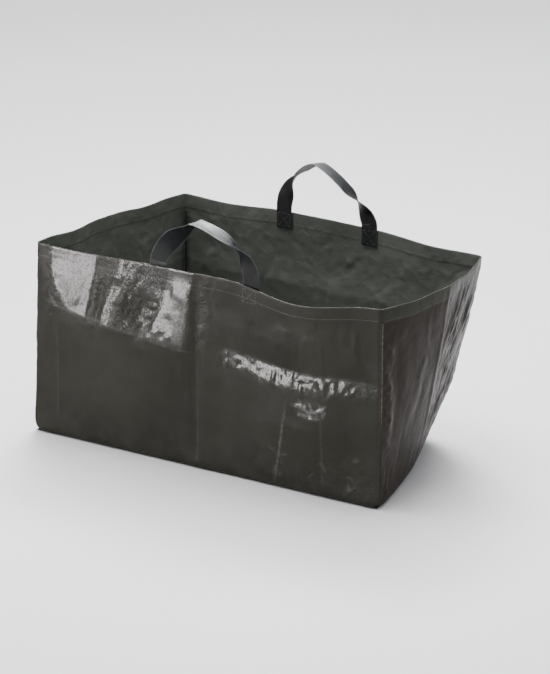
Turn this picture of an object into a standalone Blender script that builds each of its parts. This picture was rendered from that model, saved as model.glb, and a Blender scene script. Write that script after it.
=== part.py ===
"""Open garden waste bag, sewn from coated woven sheet.

Four wall panels stand on a base panel. The side walls have a gusset fold down
their middle, and the right end tapers in towards the floor. A folded hem runs
round the rim, seam allowances lie inside the corners, and two strap loops are
sewn inside the hem. Metres, +Z up, origin on the floor under the middle of the
bag, +X along its length and -Y to its front.
"""
from math import cos, hypot, pi, radians, sin

import bmesh
import bpy
from mathutils import Matrix, Vector

# Driving dimensions
BAG_LENGTH = 0.830
BAG_DEPTH = 0.495
BAG_HEIGHT = 0.380
SHEET = 0.0012
CLEARANCE = 0.0003
SEAT = 0.0005

# Lift of the base panel's back right corner, and how far the taper there starts
CORNER_LIFT = 0.045
LIFT_START_SHARES = (0.62, 0.04)

# Folded hem and the seam allowances
HEM_SHEET = 0.0008
HEM_HEIGHT = 0.026
HEM_INSET = 0.0024
WALL_INSET = 0.0010
SEAM_WIDTH = 0.010
SEAM_STANDOFF = 0.0022
SEAM_END_ROOM = 0.012

# Strap loops
STRAP_WIDTH = 0.038
STRAP_SHEET = 0.0012
STRAP_SPREAD = 0.216
FRONT_LOOP_HEIGHT = 0.092
BACK_LOOP_HEIGHT = 0.104
FRONT_LOOP_LEAN = 0.008
BACK_LOOP_LEAN = 0.006
FRONT_LOOP_SKEW = 0.020
BACK_LOOP_SKEW = 0.016
TAB_DROP = 0.034
PIVOT_RISE = 0.0085
PIVOT_OFFSET = 0.0012
FOOT_OVERLAP = 0.0003
TWIST = radians(90)
BACK_CROWN_TILT = radians(8)

# Wall swells, outward except for the droop, which lowers the rim
FRONT_LEFT_SWELL = 0.013
FRONT_RIGHT_SWELL = 0.016
FRONT_RIGHT_DROOP = 0.018
FRONT_CREASE = 0.004
BACK_SWELL = 0.024
RIGHT_FOLD_AT_RIM = 0.036
RIGHT_FOLD_AT_BASE = 0.012
LEFT_FOLD_AT_RIM = 0.012
LEFT_FOLD_AT_BASE = 0.002

# Corners in plan, as shares of half the length and half the depth
RIM_CORNER_SHARES = {
    "front_left": (-0.955, -0.93),
    "front_right": (0.985, -0.93),
    "back_right": (0.835, 0.753),
    "back_left": (-0.975, 0.98),
}
BASE_CORNER_SHARES = {
    "front_left": (-0.998, -0.93),
    "front_right": (0.975, -0.93),
    "back_right": (0.575, 0.79),
    "back_left": (-0.985, 0.98),
}

# How far a wall bows out on its way from the base outline to the rim outline
TAPER_BOW_SHARE = 0.62

# Strap loops: place along the wall, how straight the two legs run and how late they
# rise, how far up a foot the strap stays flat and its cross-line level, where the
# cross-line stands square again, and over how much of the strap each leg turns level
FRONT_LOOP_CENTRE_SHARE = 0.500
BACK_LOOP_CENTRE_SHARE = 0.525
FRONT_LEG_SHARES = (1.10, 0.15)
BACK_LEG_SHARES = (0.45, 0.55)
FRONT_RISE_SHARES = (1.30, 1.00)
BACK_RISE_SHARES = (1.50, 1.15)
FLAT_FOOT_SHARE = 0.08
LEVEL_FOOT_SHARE = 0.16
FRONT_TWIST_SHARES = (0.36, 0.22)
BACK_TWIST_SHARES = (0.17, 0.24)

# Middle and reach of the front wall's humps, crease and droop along its length
LEFT_HUMP_SHARES = (0.26, 0.26)
RIGHT_HUMP_SHARES = (0.80, 0.20)
CREASE_SHARES = (0.50, 0.07)
DROOP_SHARES = (0.77, 0.23)

# Height profiles of the swells, as (share of height, share of swell)
SLUMPED_SHARES = ((0.0, 0.0), (0.30, 0.55), (0.64, 1.0), (1.0, 0.15))
FOLDED_SHARES = ((0.0, 0.0), (0.35, 0.85), (0.64, 0.35), (1.0, 1.0))
ARCHED_SHARES = ((0.0, 0.0), (0.40, 0.80), (1.0, 1.0))
CREASED_SHARES = ((0.0, 0.3), (0.64, 1.0), (1.0, 0.4))

# Mesh density
STEPS_ALONG = 20
STEPS_UP = 11
STEPS_ROUND_HEM = 12
STEPS_LOOP = 44
DIFFERENCE_SHARE = 0.002

# Colours (linear), roughness
SHEET_COLOUR = (0.050, 0.052, 0.043, 1.0)
STRAP_COLOUR = (0.030, 0.034, 0.034, 1.0)
SHEET_ROUGHNESS = 0.42
STRAP_ROUGHNESS = 0.60

# Wall name, first corner, second corner: anticlockwise seen from above
WALLS = {
    "front": ("front_left", "front_right", Vector((0, -1, 0))),
    "right": ("front_right", "back_right", Vector((1, 0, 0))),
    "back": ("back_right", "back_left", Vector((0, 1, 0))),
    "left": ("back_left", "front_left", Vector((-1, 0, 0))),
}


def clear_scene():
    """Remove what the new file starts with."""
    for thing in list(bpy.data.objects):
        bpy.data.objects.remove(thing, do_unlink=True)


def finish_material(name, colour, roughness):
    """One Principled material."""
    material = bpy.data.materials.new(name)
    material.use_nodes = True
    shader = material.node_tree.nodes["Principled BSDF"]
    shader.inputs["Base Color"].default_value = colour
    shader.inputs["Roughness"].default_value = roughness
    shader.inputs["Metallic"].default_value = 0.0
    return material


def ramp(share, start):
    """Zero up to start, then a smooth rise to one."""
    return max(0.0, (share - start) / (1.0 - start)) ** 2


def bump(share, place_shares):
    """Round hump of height one over a stretch of a wall."""
    centre, reach = place_shares
    distance = min(abs(share - centre) / reach, 1.0)
    return cos(distance * pi / 2) ** 2


def fold(share):
    """Straight up to the fold line in the middle and straight down again."""
    return 1.0 - abs(2.0 * share - 1.0)


def profile(share, stops):
    """Share of a swell at a share of the height, straight between the stops."""
    for (low, first), (high, second) in zip(stops, stops[1:]):
        if share <= high:
            return first + (second - first) * (share - low) / (high - low)
    return stops[-1][1]


def corner_plan(shares, corner):
    """Plan position of a corner."""
    along, across = shares[corner]
    return Vector((along * BAG_LENGTH / 2, across * BAG_DEPTH / 2, 0))


def floor_lift(along, across):
    """Height of the base panel's middle surface over the floor."""
    start_along, start_across = LIFT_START_SHARES
    return CORNER_LIFT * ramp(along, start_along) * ramp(across, start_across)


def base_lift_under(wall, along):
    """Lift of the base panel under a wall's lower edge."""
    places = {
        "front": (along, 0.0),
        "right": (1.0, along),
        "back": (1.0 - along, 1.0),
        "left": (0.0, 1.0 - along),
    }
    return floor_lift(*places[wall])


def swell(wall, along, up):
    """Outward offset of a wall from the straight panel."""
    if wall == "front":
        left = FRONT_LEFT_SWELL * bump(along, LEFT_HUMP_SHARES) * profile(up, SLUMPED_SHARES)
        right = FRONT_RIGHT_SWELL * bump(along, RIGHT_HUMP_SHARES) * profile(up, FOLDED_SHARES)
        crease = FRONT_CREASE * bump(along, CREASE_SHARES) * profile(up, CREASED_SHARES)
        return left + right + crease
    if wall == "back":
        return BACK_SWELL * sin(pi * along) * profile(up, ARCHED_SHARES)
    if wall == "right":
        return fold(along) * (RIGHT_FOLD_AT_BASE + (RIGHT_FOLD_AT_RIM - RIGHT_FOLD_AT_BASE) * up)
    return fold(along) * (LEFT_FOLD_AT_BASE + (LEFT_FOLD_AT_RIM - LEFT_FOLD_AT_BASE) * up)


def rim_height(wall, along):
    """Height of the hem's top."""
    droop = FRONT_RIGHT_DROOP * bump(along, DROOP_SHARES) if wall == "front" else 0.0
    return BAG_HEIGHT - droop


def wall_point(wall, along, up):
    """Point of a wall's middle surface, from the base panel (0) to the rim (1)."""
    first, second, outward = WALLS[wall]
    low, high = (
        corner_plan(shares, first).lerp(corner_plan(shares, second), along)
        for shares in (BASE_CORNER_SHARES, RIM_CORNER_SHARES)
    )
    reached = up + TAPER_BOW_SHARE * up * (1.0 - up)
    point = low.lerp(high, reached) + outward * swell(wall, along, up)
    bottom = base_lift_under(wall, along) + SHEET + SEAT
    point.z = bottom + (rim_height(wall, along) - bottom) * up
    return point


def wall_frame(wall, along, up):
    """Unit vectors of a wall: along it, up it and out of it."""
    step = DIFFERENCE_SHARE
    forward = wall_point(wall, along + step, up) - wall_point(wall, along - step, up)
    upward = wall_point(wall, along, up + step) - wall_point(wall, along, up - step)
    outward = forward.cross(upward).normalized()
    upward = outward.cross(forward).normalized()
    return forward.normalized(), upward, outward


def wall_length(wall):
    """Length of a wall along its rim."""
    first, second, outward = WALLS[wall]
    return (corner_plan(RIM_CORNER_SHARES, second) - corner_plan(RIM_CORNER_SHARES, first)).length


def up_share(wall, along, drop):
    """Height share that lies a given drop below the rim."""
    height = rim_height(wall, along) - base_lift_under(wall, along) - SHEET - SEAT
    return 1.0 - drop / height


def sheet_object(name, columns, rows, place, thickness, material, collection):
    """Unit grid whose points are placed on a surface, given a wall by Solidify."""
    mesh = bpy.data.meshes.new(name)
    grid = bmesh.new()
    bmesh.ops.create_grid(grid, x_segments=columns, y_segments=rows, size=1.0)
    for vertex in grid.verts:
        vertex.co = place((vertex.co.x + 1.0) / 2, (vertex.co.y + 1.0) / 2)
    bmesh.ops.recalc_face_normals(grid, faces=grid.faces)
    grid.to_mesh(mesh)
    grid.free()
    thing = bpy.data.objects.new(name, mesh)
    collection.objects.link(thing)
    mesh.materials.append(material)
    mesh.shade_smooth()
    solid = thing.modifiers.new("thickness", "SOLIDIFY")
    solid.thickness = thickness
    solid.offset = 0.0
    return thing


def add_wall(wall, collection):
    """Wall panel from the base panel to just under the fold of the hem."""
    inset = WALL_INSET / wall_length(wall)
    fold_room = hem_offset() + HEM_SHEET / 2

    def place(across, up):
        along = inset + (1.0 - 2 * inset) * across
        return wall_point(wall, along, up * up_share(wall, along, fold_room))

    material = finish_material(wall + "_sheet", SHEET_COLOUR, SHEET_ROUGHNESS)
    return sheet_object(wall + "_wall", STEPS_ALONG, STEPS_UP, place, SHEET, material, collection)


def add_base(collection):
    """Base panel under all four walls, with its back right corner drawn up."""

    def edge(wall, along):
        point = wall_point(wall, along, 0.0)
        point.z = 0.0
        return point

    def place(across, back):
        front_edge = edge("front", across)
        back_edge = edge("back", 1.0 - across)
        left_edge = edge("left", 1.0 - back)
        right_edge = edge("right", back)
        ruled = front_edge.lerp(back_edge, back) + left_edge.lerp(right_edge, across)
        near = edge("front", 0.0).lerp(edge("front", 1.0), across)
        far = edge("back", 1.0).lerp(edge("back", 0.0), across)
        point = ruled - near.lerp(far, back)
        point.z = floor_lift(across, back) + SHEET / 2
        return point

    material = finish_material("base_sheet", SHEET_COLOUR, SHEET_ROUGHNESS)
    return sheet_object("base_panel", STEPS_ALONG, STEPS_UP, place, SHEET, material, collection)


def hem_offset():
    """Distance from a wall's middle to the middle of a hem leaf."""
    return SHEET / 2 + SEAT + HEM_SHEET / 2


def add_hem(wall, collection):
    """Band folded over a wall's top edge, with an outer and an inner leaf."""
    leaf_offset = hem_offset()
    top_drop = leaf_offset + HEM_SHEET / 2
    inset = HEM_INSET / wall_length(wall)

    def place(across, around):
        along = inset + (1.0 - 2 * inset) * across
        third = 3.0 * around
        turn = pi * min(max(third - 1.0, 0.0), 1.0)
        drop = HEM_HEIGHT * max(1.0 - third, third - 2.0, 0.0)
        up = up_share(wall, along, top_drop + drop)
        forward, upward, outward = wall_frame(wall, along, up)
        return wall_point(wall, along, up) + (outward * cos(turn) + upward * sin(turn)) * leaf_offset

    material = finish_material(wall + "_hem_sheet", SHEET_COLOUR, SHEET_ROUGHNESS)
    return sheet_object("hem_" + wall, STEPS_ALONG, STEPS_ROUND_HEM, place, HEM_SHEET, material, collection)


def add_corner_seam(first_wall, second_wall, name, collection):
    """Seam allowance inside a corner, standing on the line between its two walls."""
    bottom = SEAM_END_ROOM / BAG_HEIGHT
    top = up_share(second_wall, 0.0, HEM_HEIGHT + SEAM_END_ROOM / 2)

    def place(across, along):
        up = bottom + (top - bottom) * along
        first_out = wall_frame(first_wall, 1.0 - DIFFERENCE_SHARE, up)[2]
        second_out = wall_frame(second_wall, DIFFERENCE_SHARE, up)[2]
        inward = -(first_out + second_out).normalized()
        return wall_point(second_wall, 0.0, up) + inward * (SEAM_STANDOFF + SEAM_WIDTH * across)

    material = finish_material(name + "_tape", STRAP_COLOUR, STRAP_ROUGHNESS)
    return sheet_object(name, 1, STEPS_UP, place, SHEET, material, collection)


def add_base_seam(wall, collection):
    """Seam allowance inside the fold between a wall and the base panel."""
    inset = SEAM_END_ROOM / wall_length(wall)

    def place(across, width):
        along = inset + (1.0 - 2 * inset) * across
        outward = wall_frame(wall, along, DIFFERENCE_SHARE)[2]
        diagonal = (Vector((0, 0, 1)) - outward).normalized()
        start = wall_point(wall, along, 0.0)
        return start + diagonal * (SEAM_STANDOFF + SEAM_WIDTH * width)

    material = finish_material(wall + "_base_tape", STRAP_COLOUR, STRAP_ROUGHNESS)
    return sheet_object("base_seam_" + wall, STEPS_ALONG, 1, place, SHEET, material, collection)


def foot_share(wall, side):
    """Place of a strap foot along its wall; side is -1 or 1."""
    centre = FRONT_LOOP_CENTRE_SHARE if wall == "front" else BACK_LOOP_CENTRE_SHARE
    return centre + side * STRAP_SPREAD / 2 / wall_length(wall)


def foot_pivot(wall, side):
    """Point of the hinge line over a strap foot, inside and above the hem."""
    along = foot_share(wall, side)
    forward, upward, outward = wall_frame(wall, along, 1.0)
    inset = hem_offset() + HEM_SHEET / 2 + PIVOT_OFFSET + STRAP_SHEET / 2
    return wall_point(wall, along, 1.0) + upward * PIVOT_RISE - outward * inset


def loop_frame(wall):
    """Matrix of a strap loop: X along its hinge line, Y into the bag, Z up."""
    start, end = foot_pivot(wall, -1), foot_pivot(wall, 1)
    along = (end - start).normalized()
    inward = Vector((0, 0, 1)).cross(along).normalized()
    upward = along.cross(inward)
    turn = Matrix((along, inward, upward)).transposed().to_4x4()
    return Matrix.Translation((start + end) / 2) @ turn


def loop_half_spread(wall):
    """Half the distance between a loop's feet, along the hinge line."""
    return (foot_pivot(wall, 1) - foot_pivot(wall, -1)).length / 2


def loop_centre(wall, share):
    """Middle line of a strap loop in its own frame, from foot to foot."""
    leg = 0 if share < 0.5 else 1
    height, lean, skew = FRONT_LOOP_HEIGHT, -FRONT_LOOP_LEAN, -FRONT_LOOP_SKEW
    straightness, lateness = FRONT_LEG_SHARES[leg], FRONT_RISE_SHARES[leg]
    if wall == "back":
        height, lean, skew = BACK_LOOP_HEIGHT, BACK_LOOP_LEAN, BACK_LOOP_SKEW
        straightness, lateness = BACK_LEG_SHARES[leg], BACK_RISE_SHARES[leg]
    angle = pi * min(max(share, 0.0), 1.0)
    rise = max(sin(angle), 0.0)
    slack = rise ** 2
    across = -cos(angle) * abs(cos(angle)) ** straightness * loop_half_spread(wall) + skew * slack
    return Vector((across, lean * slack, height * rise ** lateness - FOOT_OVERLAP))


def loop_turn(wall, share):
    """Twist of the strap about its middle line: flat at the feet, level on top.

    The front loop turns back on its way down. The back loop turns on, and its crown
    tilts out of the bag.
    """
    first, second = FRONT_TWIST_SHARES if wall == "front" else BACK_TWIST_SHARES
    reach = first if share < 0.5 else second
    level = min(max((min(share, 1.0 - share) - FLAT_FOOT_SHARE) / reach, 0.0), 1.0)
    eased = level * level * (3.0 - 2.0 * level)
    if wall == "front":
        return TWIST * eased
    if share < 0.5:
        return (BACK_CROWN_TILT - TWIST) * eased
    return (BACK_CROWN_TILT + TWIST) * eased - 2 * TWIST


def add_loop(wall, collection):
    """Strap loop on an empty that stands on its hinge line."""
    pivot = bpy.data.objects.new("handle_" + wall + "_pivot", None)
    collection.objects.link(pivot)
    pivot.matrix_world = loop_frame(wall)
    step = DIFFERENCE_SHARE

    def place(along, across):
        tangent = (loop_centre(wall, along + step) - loop_centre(wall, along - step)).normalized()
        flat = Vector((0, 1, 0)).cross(tangent).normalized()
        hinge = Vector((1.0 if flat.x > 0.0 else -1.0, 0, 0))
        leaning = (min(along, 1.0 - along) - FLAT_FOOT_SHARE) / (LEVEL_FOOT_SHARE - FLAT_FOOT_SHARE)
        flat = hinge.lerp(flat, min(max(leaning, 0.0), 1.0))
        turn = loop_turn(wall, along)
        width = flat * cos(turn) + tangent.cross(flat) * sin(turn)
        width = width * STRAP_WIDTH / width.cross(tangent).length
        return loop_centre(wall, along) + width * (across - 0.5)

    material = finish_material("handle_" + wall + "_webbing", STRAP_COLOUR, STRAP_ROUGHNESS)
    loop = sheet_object("handle_" + wall, STEPS_LOOP, 2, place, STRAP_SHEET, material, collection)
    loop.parent = pivot
    return loop


def add_tab(wall, side, name, collection):
    """Sewn strap end inside the hem, ending in a ridge just under the hinge line."""
    half = STRAP_SHEET / 2
    tip = hypot(half, FOOT_OVERLAP) + CLEARANCE
    shoulder = tip + half
    bottom = PIVOT_RISE + TAB_DROP
    outline = (
        (-half, -bottom), (half, -bottom), (half, -shoulder), (0, -tip), (-half, -shoulder),
    )
    curve = bpy.data.curves.new(name, "CURVE")
    curve.dimensions = "2D"
    curve.fill_mode = "BOTH"
    curve.extrude = STRAP_WIDTH / 2
    spline = curve.splines.new("POLY")
    spline.points.add(len(outline) - 1)
    for point, (across, height) in zip(spline.points, outline):
        point.co = (across, height, 0, 1)
    spline.use_cyclic_u = True
    curve.materials.append(finish_material(name + "_webbing", STRAP_COLOUR, STRAP_ROUGHNESS))
    tab = bpy.data.objects.new(name, curve)
    collection.objects.link(tab)
    along = loop_frame(wall).to_3x3().col[0].copy()
    foot = foot_share(wall, side)
    upward = wall_frame(wall, foot, up_share(wall, foot, HEM_HEIGHT / 2))[1]
    inward = upward.cross(along).normalized()
    upward = along.cross(inward)
    turn = Matrix((inward, upward, along)).transposed().to_4x4()
    tab.matrix_world = Matrix.Translation(foot_pivot(wall, side)) @ turn
    return tab


def main():
    """Build every piece of the bag."""
    clear_scene()
    bag = bpy.data.collections.new("garden_waste_bag")
    bpy.context.scene.collection.children.link(bag)
    add_base(bag)
    names = list(WALLS)
    for index, wall in enumerate(names):
        add_wall(wall, bag)
        add_hem(wall, bag)
        add_base_seam(wall, bag)
        following = names[(index + 1) % len(names)]
        corner = WALLS[wall][1]
        add_corner_seam(wall, following, "corner_seam_" + corner, bag)
    for wall in ("front", "back"):
        add_loop(wall, bag)
        add_tab(wall, -1, "strap_tab_" + wall + "_a", bag)
        add_tab(wall, 1, "strap_tab_" + wall + "_b", bag)


main()
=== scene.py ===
"""Looks of an open garden waste bag, sewn from coated woven sheet.

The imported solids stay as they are. Every soft piece is lofted again here from the
same form, with its folds, wrinkles, hems, bindings, stitches and woven finishes.
Metres, +Z up, -Y is the front, the origin lies on the floor under the bag.
"""
import logging
from dataclasses import dataclass, field
from enum import Enum
from math import cos, pi, radians, sin

import bpy
import numpy as np
from mathutils import Matrix, Vector, noise


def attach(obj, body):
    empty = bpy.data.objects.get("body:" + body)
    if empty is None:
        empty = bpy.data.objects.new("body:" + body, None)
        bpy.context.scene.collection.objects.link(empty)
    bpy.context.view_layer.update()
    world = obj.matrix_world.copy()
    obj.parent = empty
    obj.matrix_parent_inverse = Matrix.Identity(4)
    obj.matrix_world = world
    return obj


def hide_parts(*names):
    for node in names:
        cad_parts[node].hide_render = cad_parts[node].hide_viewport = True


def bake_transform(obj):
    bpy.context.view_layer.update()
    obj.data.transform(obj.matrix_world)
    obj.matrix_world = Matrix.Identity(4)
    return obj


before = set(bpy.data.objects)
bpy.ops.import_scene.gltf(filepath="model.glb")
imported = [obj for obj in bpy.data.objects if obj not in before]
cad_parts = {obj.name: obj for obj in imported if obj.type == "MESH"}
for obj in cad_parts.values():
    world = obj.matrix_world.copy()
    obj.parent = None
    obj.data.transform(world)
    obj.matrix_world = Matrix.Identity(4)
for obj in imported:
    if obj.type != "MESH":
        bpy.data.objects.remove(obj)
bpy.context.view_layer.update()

logging.basicConfig(level=logging.INFO, format="%(message)s")
LOG = logging.getLogger("garden_bag")

SHEET = 0.0007
HEM_LEAF = 0.0006
RIM_HEIGHT = 0.380
# Half the width of the groove at a corner seam, and the drop from the rim to the hem's stitches.
SEAM_REACH = 0.0011
HEM_SEAM_DROP = 0.0225
STRAP_WIDTH = 0.038
STRAP_SPREAD = 0.216
# Share of the wall's length at the middle of each strap.
FRONT_STRAP, BACK_STRAP = 0.500, 0.525
BINDING_WIDTH = 0.0105
# A place this far inside a wall's end still belongs to that wall.
NUDGE = 1e-6
UP = Vector((0.0, 0.0, 1.0))
# Vector noise without a seed differs from run to run.
NOISE_SEED = 5

Place = tuple[float, float]
Stops = tuple[Place, ...]
Colour = tuple[float, float, float, float]


class Side(Enum):
    """The four walls, anticlockwise seen from above."""

    FRONT = 0
    RIGHT = 1
    BACK = 2
    LEFT = 3


class FoldShape(Enum):
    """Cross-section of a fold line."""

    ROUND = "round"
    TENT = "tent"


class Body(Enum):
    """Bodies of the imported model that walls, hems and stitches ride on."""

    BASE = "base"
    RIM = "rim"


class Slot(Enum):
    """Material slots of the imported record."""

    SHEET = "sheet"
    HEM = "hem_sheet"
    TAPE = "seam_tape"
    WEBBING = "webbing"


# Form of the bag


def hump(share: np.ndarray, centre: float, reach: float) -> np.ndarray:
    """Round hump of height one over a stretch of a wall."""
    return np.cos(np.minimum(np.abs(share - centre) / reach, 1.0) * pi / 2) ** 2


def smooth(value: np.ndarray, low: float, high: float) -> np.ndarray:
    """Smooth rise from zero at low to one at high."""
    share = np.clip((value - low) / (high - low), 0.0, 1.0)
    return share * share * (3.0 - 2.0 * share)


def ridge(off: np.ndarray, reach: float) -> np.ndarray:
    """Soft ridge of height one, at distances off its line."""
    return np.exp(-(off / reach) ** 2)


def profile(value: np.ndarray, stops: Stops) -> np.ndarray:
    """Height of a curve through stops, straight between them."""
    places, heights = zip(*stops)
    return np.interp(value, places, heights)


def unit_rows(rows: np.ndarray) -> np.ndarray:
    """Every row as a vector of length one."""
    return rows / np.linalg.norm(rows, axis=1)[:, None]


def step_lengths(points: np.ndarray) -> np.ndarray:
    """Distance from each point of a chain to the next."""
    return np.linalg.norm(np.diff(points, axis=0), axis=1)


def running_sum(steps: np.ndarray) -> np.ndarray:
    """Sum of the steps up to each place, from zero on."""
    return np.concatenate(((0.0,), np.cumsum(steps)))


def follow(places: np.ndarray, marks: np.ndarray, points: np.ndarray) -> np.ndarray:
    """Points at distances along a chain whose own points lie at the marks."""
    return np.column_stack([np.interp(places, marks, points[:, axis]) for axis in range(3)])


@dataclass(frozen=True)
class Swell:
    """One outward swell of a wall, with its share of the full push at each height."""

    push: float
    centre: float
    reach: float
    rise: Stops

    def offset(self, share: np.ndarray, up: np.ndarray) -> np.ndarray:
        """Outward offset in metres."""
        return self.push * hump(share, self.centre, self.reach) * profile(up, self.rise)


@dataclass(frozen=True)
class BagForm:
    """Outline, lean and slump of the bag's walls."""

    length: float = 0.830
    depth: float = 0.495
    height: float = RIM_HEIGHT
    corner_lift: float = 0.045
    lift_starts: Place = (0.62, 0.04)
    taper_bow: float = 0.62
    rim_corners: Stops = ((-0.955, -0.93), (0.985, -0.93), (0.835, 0.753), (-0.975, 0.98))
    base_corners: Stops = ((-0.998, -0.93), (0.975, -0.93), (0.575, 0.79), (-0.985, 0.98))
    front_swells: tuple[Swell, ...] = (
        Swell(0.013, 0.26, 0.26, ((0.0, 0.0), (0.30, 0.55), (0.64, 1.0), (1.0, 0.15))),
        Swell(0.016, 0.80, 0.20, ((0.0, 0.0), (0.35, 0.85), (0.555, 0.70), (0.64, 0.35), (1.0, 1.0))),
        Swell(0.004, 0.50, 0.07, ((0.0, 0.3), (0.64, 1.0), (1.0, 0.4))),
    )
    back_swell: float = 0.024
    back_rise: Stops = ((0.0, 0.0), (0.40, 0.80), (1.0, 1.0))
    right_gusset: Place = (0.012, 0.036)
    left_gusset: Place = (0.002, 0.012)
    gusset_height: float = 1.13
    gusset_round: float = 0.13
    corner_round: float = 0.0044
    droop: float = 0.018
    droop_centre: float = 0.77
    droop_reach: float = 0.23
    sags: tuple[Stops, ...] = (
        ((0.13, 0.0028),), ((0.24, 0.0030), (0.77, 0.0042)),
        ((0.17, 0.0052), (0.85, 0.0055)), ((0.26, 0.0040), (0.74, 0.0048)),
    )
    sag_reach: float = 0.17
    step_along: float = 0.002
    step_up: float = 0.006

    def half_size(self) -> np.ndarray:
        """Half the length and half the depth."""
        return np.array((self.length / 2, self.depth / 2))

    def corners(self, shares: Stops) -> np.ndarray:
        """Four corners in plan."""
        return np.array(shares) * self.half_size()

    def side_lengths(self) -> np.ndarray:
        """Length of each wall along its rim."""
        rim = self.corners(self.rim_corners)
        return np.linalg.norm(np.roll(rim, -1, axis=0) - rim, axis=1)

    def side_starts(self) -> np.ndarray:
        """Distance round the rim at which each wall starts."""
        return running_sum(self.side_lengths())[:-1]

    def span(self, side: Side) -> Place:
        """Start of one wall, in metres round the rim, and its length."""
        return self.side_starts()[side.value], self.side_lengths()[side.value]

    def girth(self) -> float:
        """Length of the rim."""
        return float(self.side_lengths().sum())

    def mitres(self, shares: Stops) -> np.ndarray:
        """How far each corner moves in plan when all the sides move in by one metre.

        Args:
            shares: the corners, in shares of the half length and half depth.

        Returns:
            One row of x and y for each corner.
        """
        corners = self.corners(shares)
        along = unit_rows(np.roll(corners, -1, axis=0) - corners)
        outward = np.stack((along[:, 1], -along[:, 0]), axis=1)
        before = np.roll(outward, 1, axis=0)
        return (before + outward) / (1.0 + (before * outward).sum(axis=1))[:, None]

    def lift(self, along: np.ndarray, across: np.ndarray) -> np.ndarray:
        """Height of the bottom over the floor.

        Args:
            along: share of the bag's length, from the left.
            across: share of its depth, from the front.

        Returns:
            Heights in metres.
        """
        ramps = [
            np.maximum(0.0, (share - start) / (1.0 - start)) ** 2
            for share, start in zip((along, across), self.lift_starts)
        ]
        return self.corner_lift * ramps[0] * ramps[1]

    def gusset(self, share: np.ndarray, up: np.ndarray, depths: Place) -> np.ndarray:
        """Outward offset of an end wall, which is folded out along its middle.

        Args:
            share: share along the wall.
            up: share of the height.
            depths: metres that the fold stands out at the floor and at the rim.

        Returns:
            Offset in metres.
        """
        wander = share + 0.022 * np.sin(7.0 * up + 0.6) + 0.012 * np.sin(17.0 * up)
        fold = self.gusset_height - np.sqrt((2.0 * wander - 1.0) ** 2 + self.gusset_round ** 2)
        fold = fold * smooth(np.minimum(share, 1.0 - share), -0.02, 0.10)
        return fold * (depths[0] + (depths[1] - depths[0]) * up)

    def swell(self, side: np.ndarray, share: np.ndarray, up: np.ndarray) -> np.ndarray:
        """Outward offset of a wall from its straight panel.

        Args:
            side: index of the wall at each place.
            share: share along that wall.
            up: share of the height.

        Returns:
            Offset in metres.
        """
        front = sum(swell.offset(share, up) for swell in self.front_swells)
        back = self.back_swell * np.sin(pi * np.clip(share, 0.0, 1.0)) * profile(up, self.back_rise)
        right, left = (self.gusset(share, up, depths) for depths in (self.right_gusset, self.left_gusset))
        return np.choose(side, (front, right, back, left))

    def locate(self, distance: np.ndarray) -> tuple[np.ndarray, np.ndarray]:
        """Wall and share along it at a distance round the rim.

        Args:
            distance: metres round the rim from the front left corner.

        Returns:
            The wall's index, and the share of its length.
        """
        lengths, starts = self.side_lengths(), self.side_starts()
        distance = np.mod(distance, self.girth())
        side = np.clip(np.searchsorted(starts, distance, side="right") - 1, 0, 3)
        return side, (distance - starts[side]) / lengths[side]

    def sharp(self, distance: np.ndarray, up: np.ndarray, inset: np.ndarray) -> np.ndarray:
        """Points of the walls with sharp corners.

        Args:
            distance: metres round the rim.
            up: share of the height.
            inset: metres that the whole outline moves in.

        Returns:
            One row of x, y and z for each place.
        """
        side, share = self.locate(distance)
        following = (side + 1) % 4
        levels = []
        for shares in (self.base_corners, self.rim_corners):
            corners, mitres = self.corners(shares), self.mitres(shares)
            first = corners[side] - mitres[side] * inset[:, None]
            second = corners[following] - mitres[following] * inset[:, None]
            levels.append(first + (second - first) * share[:, None])
        reached = up + self.taper_bow * up * (1.0 - up)
        plan = levels[0] + (levels[1] - levels[0]) * reached[:, None]
        outward = np.array(((0, -1), (1, 0), (0, 1), (-1, 0)), dtype=float)[side]
        plan = plan + outward * self.swell(side, share, up)[:, None]
        along = np.choose(side, (share, np.ones_like(share), 1.0 - share, np.zeros_like(share)))
        across = np.choose(side, (np.zeros_like(share), share, np.ones_like(share), 1.0 - share))
        bottom = self.lift(along, across) + SHEET / 2
        droop = self.droop * hump(share, self.droop_centre, self.droop_reach)
        top = self.height - np.where(side == Side.FRONT.value, droop, 0.0)
        for kind, sags in enumerate(self.sags):
            for centre, depth in sags:
                top = top - np.where(side == kind, depth * hump(share, centre, self.sag_reach), 0.0)
        return np.column_stack((plan, bottom + (top - bottom) * up))

    def plain(self, distance: np.ndarray, up: np.ndarray, inset: np.ndarray) -> np.ndarray:
        """Points of the walls with the corners and fold lines rounded.

        Args:
            distance: metres round the rim.
            up: share of the height.
            inset: metres that the whole outline moves in.

        Returns:
            One row of x, y and z for each place.
        """
        weights = {-2: 1.0, -1: 2.0, 0: 3.0, 1: 2.0, 2: 1.0}
        total = sum(
            weight * self.sharp(distance + step * self.corner_round, up, inset)
            for step, weight in weights.items()
        )
        return total / sum(weights.values())

    def normals(self, distance: np.ndarray, up: np.ndarray, inset: np.ndarray) -> np.ndarray:
        """Outward unit normals of the rounded walls.

        Args:
            distance: metres round the rim.
            up: share of the height.
            inset: metres that the whole outline moves in.

        Returns:
            One unit vector for each place.
        """
        along, rise = self.step_along, self.step_up
        forward = self.plain(distance + along, up, inset) - self.plain(distance - along, up, inset)
        upward = self.plain(distance, up + rise, inset) - self.plain(distance, up - rise, inset)
        return unit_rows(np.cross(forward, upward))


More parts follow.
